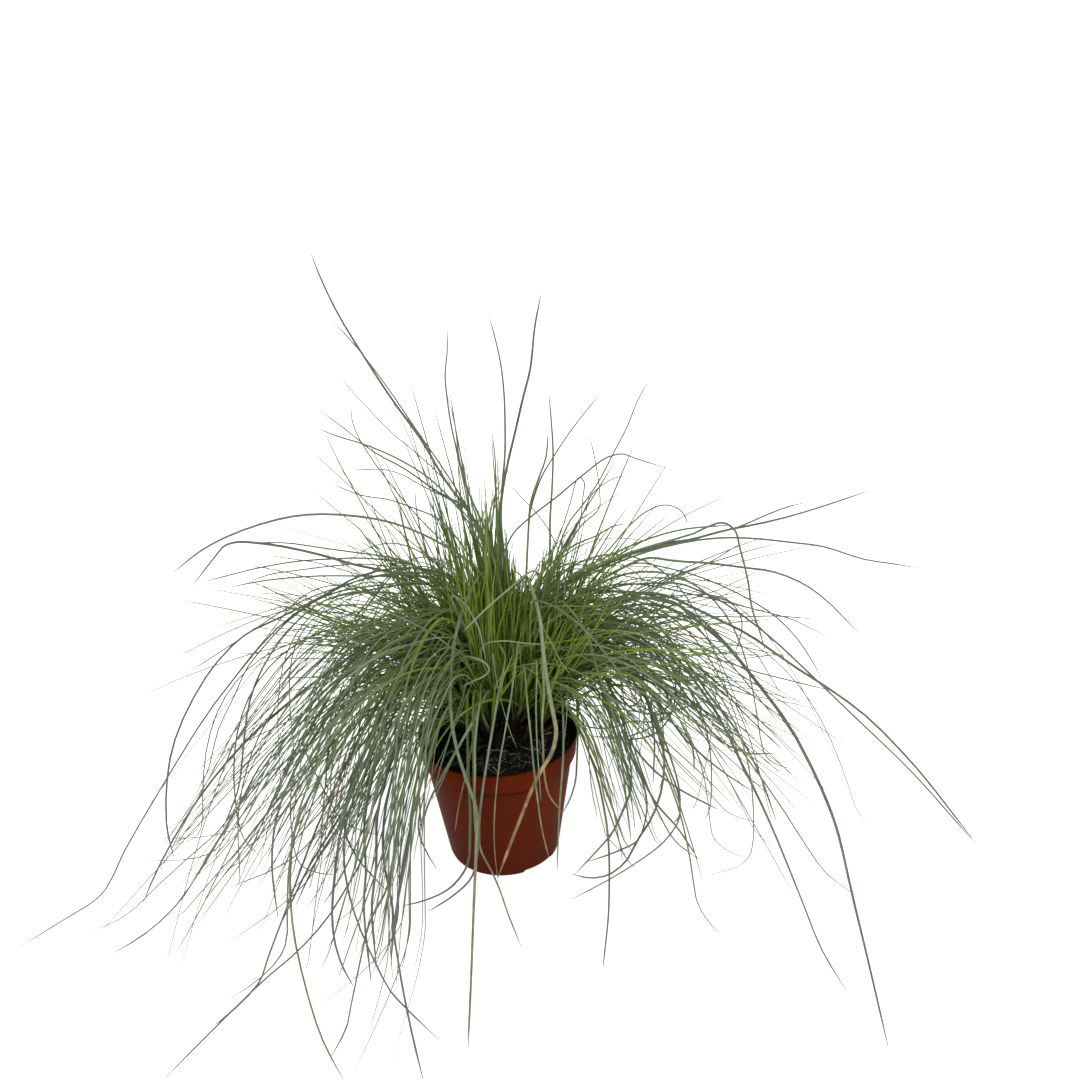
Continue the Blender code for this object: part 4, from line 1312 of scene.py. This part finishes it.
# Sizes of the patterns. The moulding grain is really 0.1 mm and is drawn coarser, so that it shows.
FLOW_MARK = 26.3 * MM
DIRT_SPECK = 2.38 * MM
MOULD_GRAIN = 0.714 * MM
PEAT_CRUMB = 3.03 * MM
THATCH_MOTTLE = 3.85 * MM
LEAF_MOTTLE = 9.09 * MM


def linear(code):
    """Linear RGBA of an sRGB hex colour."""
    values = [int(code[k:k + 2], 16) / 255 for k in (1, 3, 5)]
    return (*[v / 12.92 if v <= 0.04045 else ((v + 0.055) / 1.055) ** 2.4 for v in values], 1.0)


def add_node(tree, kind, inputs=None, stops=None, **settings):
    """Add a node with its settings, its inputs as values or links, and a ramp's colour stops."""
    node = tree.nodes.new(kind)
    for name, value in settings.items():
        setattr(node, name, value)
    for socket, value in (inputs or {}).items():
        if isinstance(value, bpy.types.NodeSocket):
            tree.links.new(value, node.inputs[socket])
        else:
            node.inputs[socket].default_value = value
    if stops:
        ramp = node.color_ramp.elements
        for _ in range(len(stops) - 2):
            ramp.new(0.5)
        for element, (place, colour) in zip(ramp, stops):
            element.position = place
            element.color = linear(colour)
    return node


def start_finish(name, preview, roughness, ior=1.5, **sockets):
    """A Principled finish with the values that are the same all over its surface."""
    material = bpy.data.materials.new(name)
    material.use_nodes = True
    shader = material.node_tree.nodes["Principled BSDF"]
    shader.inputs["Base Color"].default_value = linear(preview)
    shader.inputs["Roughness"].default_value = roughness
    shader.inputs["IOR"].default_value = ior
    for socket, value in sockets.items():
        shader.inputs[socket.replace("_", " ")].default_value = value
    material.diffuse_color = linear(preview)
    return material, material.node_tree, shader


def moulded_polypropylene():
    """Terracotta brown polypropylene, injection moulded: an even matt skin with faint flow
    marks, fine moulding grain and a little dried peat near the rim and foot."""
    material, tree, shader = start_finish("moulded terracotta polypropylene", "#581d06", 0.6,
                                          Specular_IOR_Level=0.02)
    place = add_node(tree, "ShaderNodeTexCoord").outputs["Object"]
    flow_place = add_node(tree, "ShaderNodeMapping", {"Vector": place, "Scale": (1, 1, 0.25)}).outputs[0]
    flow = add_node(tree, "ShaderNodeTexNoise", {"Vector": flow_place, "Scale": 1 / FLOW_MARK,
                                                 "Detail": 4, "Roughness": 0.55}).outputs[0]
    body = add_node(tree, "ShaderNodeValToRGB", {"Fac": flow}, stops=[
        (0.3, "#501903"), (0.55, "#591d05"), (0.75, "#632409")]).outputs[0]
    height = add_node(tree, "ShaderNodeSeparateXYZ", {"Vector": place}).outputs["Z"]
    near_rim = add_node(tree, "ShaderNodeMapRange", {"Value": height, "From Min": 0.07, "From Max": 0.092,
                                                     "To Min": 0.0, "To Max": 0.16}).outputs[0]
    near_foot = add_node(tree, "ShaderNodeMapRange", {"Value": height, "From Min": 0.012, "From Max": 0.0,
                                                      "To Min": 0.0, "To Max": 0.12}).outputs[0]
    speck = add_node(tree, "ShaderNodeTexNoise", {"Vector": place, "Scale": 1 / DIRT_SPECK,
                                                  "Detail": 5, "Roughness": 0.7}).outputs[0]
    near = add_node(tree, "ShaderNodeMath", {0: near_rim, 1: near_foot}, operation="MAXIMUM").outputs[0]
    dirt = add_node(tree, "ShaderNodeMath", {0: speck, 1: near}, operation="ADD").outputs[0]
    dirty = add_node(tree, "ShaderNodeMapRange", {"Value": dirt, "From Min": 0.7,
                                                  "From Max": 0.78}).outputs[0]
    skin = add_node(tree, "ShaderNodeMix", {0: dirty, 6: body, 7: linear("#2a1a10")},
                    data_type="RGBA").outputs[2]
    # Painted shade: darker along the rim's edge, in the step below the rim band and towards the foot
    level = add_node(tree, "ShaderNodeMath", {0: height, 1: POT_HEIGHT}, operation="DIVIDE").outputs[0]
    painted_shade = add_node(tree, "ShaderNodeValToRGB", {"Fac": level}, stops=[
        (0.0, "#dcdcdc"), (0.5, "#f2f2f2"), (0.795, "#f2f2f2"), (0.815, "#a4a4a4"), (0.83, "#a4a4a4"),
        (0.85, "#ffffff"), (0.985, "#ffffff"), (1.0, "#8c8c8c")]).outputs[0]
    skin = add_node(tree, "ShaderNodeMix", {0: 1.0, 6: skin, 7: painted_shade}, data_type="RGBA",
                    blend_type="MULTIPLY").outputs[2]
    tree.links.new(skin, shader.inputs["Base Color"])
    sheen = add_node(tree, "ShaderNodeMapRange", {"Value": flow, "From Min": 0.3, "From Max": 0.7,
                                                  "To Min": 0.5, "To Max": 0.64}).outputs[0]
    dull = add_node(tree, "ShaderNodeMath", {0: sheen, 1: dirty}, operation="MAXIMUM").outputs[0]
    tree.links.new(dull, shader.inputs["Roughness"])
    grain = add_node(tree, "ShaderNodeTexNoise", {"Vector": place, "Scale": 1 / MOULD_GRAIN,
                                                  "Detail": 2}).outputs[0]
    bump = add_node(tree, "ShaderNodeBump", {"Height": grain, "Strength": 0.12, "Distance": 0.1 * MM})
    tree.links.new(bump.outputs[0], shader.inputs["Normal"])
    return material


def moist_peat():
    """Moist black sphagnum peat: nearly black, matt, with fibres of a warmer brown."""
    material, tree, shader = start_finish("moist sphagnum peat", "#100c09", 0.9, Specular_IOR_Level=0.12)
    place = add_node(tree, "ShaderNodeTexCoord").outputs["Object"]
    crumb = add_node(tree, "ShaderNodeTexNoise", {"Vector": place, "Scale": 1 / PEAT_CRUMB,
                                                  "Detail": 6, "Roughness": 0.7}).outputs[0]
    colour = add_node(tree, "ShaderNodeValToRGB", {"Fac": crumb}, stops=[
        (0.4, "#020201"), (0.54, "#0a0907"), (0.64, "#1e1c14"), (0.78, "#4c4838")]).outputs[0]
    tree.links.new(colour, shader.inputs["Base Color"])
    bump = add_node(tree, "ShaderNodeBump", {"Height": crumb, "Strength": 0.8, "Distance": 0.8 * MM})
    tree.links.new(bump.outputs[0], shader.inputs["Normal"])
    return material


def pale_fibre():
    """Washed-out roots and peat fibres: pale, dry and matt."""
    material, tree, shader = start_finish("pale root fibre", "#8d8672", 0.7)
    hue = add_node(tree, "ShaderNodeAttribute", attribute_name="hue").outputs["Fac"]
    colour = add_node(tree, "ShaderNodeValToRGB", {"Fac": hue}, stops=[
        (0.0, "#26221a"), (0.6, "#4e4a3c"), (1.0, "#8a8676")]).outputs[0]
    tree.links.new(colour, shader.inputs["Base Color"])
    return material


def dead_thatch():
    """Dead leaves and sheath stubs: papery, pinkish tan to dark brown where they rot."""
    material, tree, shader = start_finish("dry papery leaf thatch", "#4a3824", 0.8, Specular_IOR_Level=0.15)
    place = add_node(tree, "ShaderNodeTexCoord").outputs["Object"]
    hue = add_node(tree, "ShaderNodeAttribute", attribute_name="hue").outputs["Fac"]
    mottle = add_node(tree, "ShaderNodeTexNoise", {"Vector": place, "Scale": 1 / THATCH_MOTTLE,
                                                   "Detail": 4}).outputs[0]
    age = add_node(tree, "ShaderNodeMath", {0: hue, 1: mottle}, operation="MULTIPLY").outputs[0]
    colour = add_node(tree, "ShaderNodeValToRGB", {"Fac": age}, stops=[
        (0.1, "#0e0905"), (0.3, "#2c1f12"), (0.45, "#58452c"), (0.6, "#8a7355")]).outputs[0]
    tree.links.new(colour, shader.inputs["Base Color"])
    bump = add_node(tree, "ShaderNodeBump", {"Height": mottle, "Strength": 0.4, "Distance": 0.4 * MM})
    tree.links.new(bump.outputs[0], shader.inputs["Normal"])
    return material


def waxy_leaf():
    """Blue fescue leaf: young green near the root, then grey-green under a pale wax bloom
    that dulls it, and drying to straw where a blade is old."""
    material, tree, shader = start_finish("waxy blue fescue leaf", "#4c5c34", 0.55, ior=1.42,
                                          Specular_IOR_Level=0.18)
    along = add_node(tree, "ShaderNodeAttribute", attribute_name="along").outputs["Fac"]
    hue = add_node(tree, "ShaderNodeAttribute", attribute_name="hue").outputs["Fac"]
    dry = add_node(tree, "ShaderNodeAttribute", attribute_name="dry").outputs["Fac"]
    place = add_node(tree, "ShaderNodeTexCoord").outputs["Object"]
    mottle = add_node(tree, "ShaderNodeTexNoise", {"Vector": place, "Scale": 1 / LEAF_MOTTLE,
                                                   "Detail": 4, "Roughness": 0.6}).outputs[0]
    from_root = add_node(tree, "ShaderNodeAttribute", attribute_name="from_root").outputs["Fac"]
    # Both ramps start dark at the root: painted shade deep in the clump, where the blades' bases stand
    blue = add_node(tree, "ShaderNodeValToRGB", {"Fac": from_root}, stops=[
        (0.0, "#30301a"), (0.08, "#425412"), (0.2, "#54691e"), (0.42, "#505a45"), (0.7, "#565b54"),
        (1.0, "#666864")]).outputs[0]
    green = add_node(tree, "ShaderNodeValToRGB", {"Fac": from_root}, stops=[
        (0.0, "#32321a"), (0.07, "#465810"), (0.2, "#6e8a12"), (0.45, "#6c881c"), (0.75, "#5e6c3c"),
        (1.0, "#5a5e52")]).outputs[0]
    live = add_node(tree, "ShaderNodeMix", {0: hue, 6: blue, 7: green}, data_type="RGBA").outputs[2]
    bloom = add_node(tree, "ShaderNodeAttribute", attribute_name="bloom").outputs["Fac"]
    waxed = add_node(tree, "ShaderNodeMapRange", {"Value": along, "From Min": 0.15,
                                                  "From Max": 0.45}).outputs[0]
    wax = add_node(tree, "ShaderNodeMath", {0: bloom, 1: waxed}, operation="MULTIPLY").outputs[0]
    live = add_node(tree, "ShaderNodeMix", {0: wax, 6: live, 7: linear("#7b896e")},
                    data_type="RGBA").outputs[2]
    straw = add_node(tree, "ShaderNodeValToRGB", {"Fac": mottle}, stops=[
        (0.3, "#6c5238"), (0.55, "#91704c"), (0.75, "#b29674")]).outputs[0]
    towards_tip = add_node(tree, "ShaderNodeMapRange", {"Value": along, "From Min": 0.55, "From Max": 0.75,
                                                        "To Min": 0.1}).outputs[0]
    dried = add_node(tree, "ShaderNodeMath", {0: dry, 1: towards_tip}, operation="MULTIPLY").outputs[0]
    colour = add_node(tree, "ShaderNodeMix", {0: dried, 6: live, 7: straw}, data_type="RGBA").outputs[2]
    shade = add_node(tree, "ShaderNodeMapRange", {"Value": mottle, "From Min": 0.3, "From Max": 0.7,
                                                  "To Min": 0.78, "To Max": 1.16}).outputs[0]
    varied = add_node(tree, "ShaderNodeHueSaturation", {"Color": colour, "Value": shade}).outputs[0]
    tree.links.new(varied, shader.inputs["Base Color"])
    dull = add_node(tree, "ShaderNodeMapRange", {"Value": mottle, "From Min": 0.3, "From Max": 0.7,
                                                 "To Min": 0.46, "To Max": 0.62}).outputs[0]
    tree.links.new(dull, shader.inputs["Roughness"])
    return material


# Stage, light and camera

def make_floor():
    bm = bmesh.new()
    bmesh.ops.create_grid(bm, x_segments=1, y_segments=1, size=14)
    material, _, _ = start_finish("pale paper floor", "#bcbcba", 0.9, Emission_Strength=0.85,
                                  Emission_Color=(1, 1, 1, 1))
    floor = finish_piece("floor", bm, material, 30)


def set_light():
    """A broad softbox overhead, a little to the left and front, and a dim white room round it."""
    world = bpy.data.worlds.new("white studio")
    world.use_nodes = True
    room = world.node_tree.nodes["Background"]
    room.inputs["Color"].default_value = (1, 1, 1, 1)
    room.inputs["Strength"].default_value = 0.42
    bpy.context.scene.world = world
    softbox = bpy.data.lights.new("overhead_softbox", "SUN")
    softbox.energy = 3.2
    softbox.angle = math.radians(60)
    lamp = bpy.data.objects.new("overhead_softbox", softbox)
    lamp.rotation_euler = Vector((0.14, 0.32, -1)).to_track_quat("-Z", "Y").to_euler()
    bpy.context.scene.collection.objects.link(lamp)
    bpy.context.scene.view_settings.view_transform = "Standard"


def set_camera():
    """A camera 0.9 m away that looks down by 25 degrees, tipped 2.6 degrees as the photograph is."""
    right, up, ahead = (Vector(axis) for axis in camera_axes())
    data = bpy.data.cameras.new("camera")
    data.sensor_width = 36
    data.lens = data.sensor_width * FOCAL_PIXELS / FRAME_PIXELS
    camera = bpy.data.objects.new("camera", data)
    turn = Matrix((right, up, -ahead)).transposed().to_4x4()
    camera.matrix_world = Matrix.Translation(CAMERA_PLACE) @ turn
    bpy.context.scene.collection.objects.link(camera)
    bpy.context.scene.camera = camera


def main():
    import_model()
    rng = np.random.default_rng(SEED + 1)
    peat = moist_peat()
    fibre = pale_fibre()
    thatch = dead_thatch()
    leaf_finish = waxy_leaf()
    rides = [
        (make_pot(moulded_polypropylene()), "pot", "pot_plastic"),
        (make_peat(peat), "compost", "compost"),
        (make_crumbs(peat, rng), None, "compost"),
        (make_rootlets(fibre, rng), None, "compost"),
        (make_crown_dome(thatch), "crown", "old_crown"),
        (make_thatch(thatch, rng), None, "old_crown"),
    ]
    shoots = grow()
    add_families(shoots)
    add_traced(shoots)
    for k, shoot in enumerate(shoots):
        piece = make_blades(f"shoot_{k + 1:02d}", shoot_blades(shoot, rng), leaf_finish)
        rides.append((piece, f"tiller_{k + 1:02d}", "grass_blade"))
    for piece, node, finish in rides:
        if node:
            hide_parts(node)
        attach(piece, "root")
    make_floor()
    set_light()
    set_camera()


main()
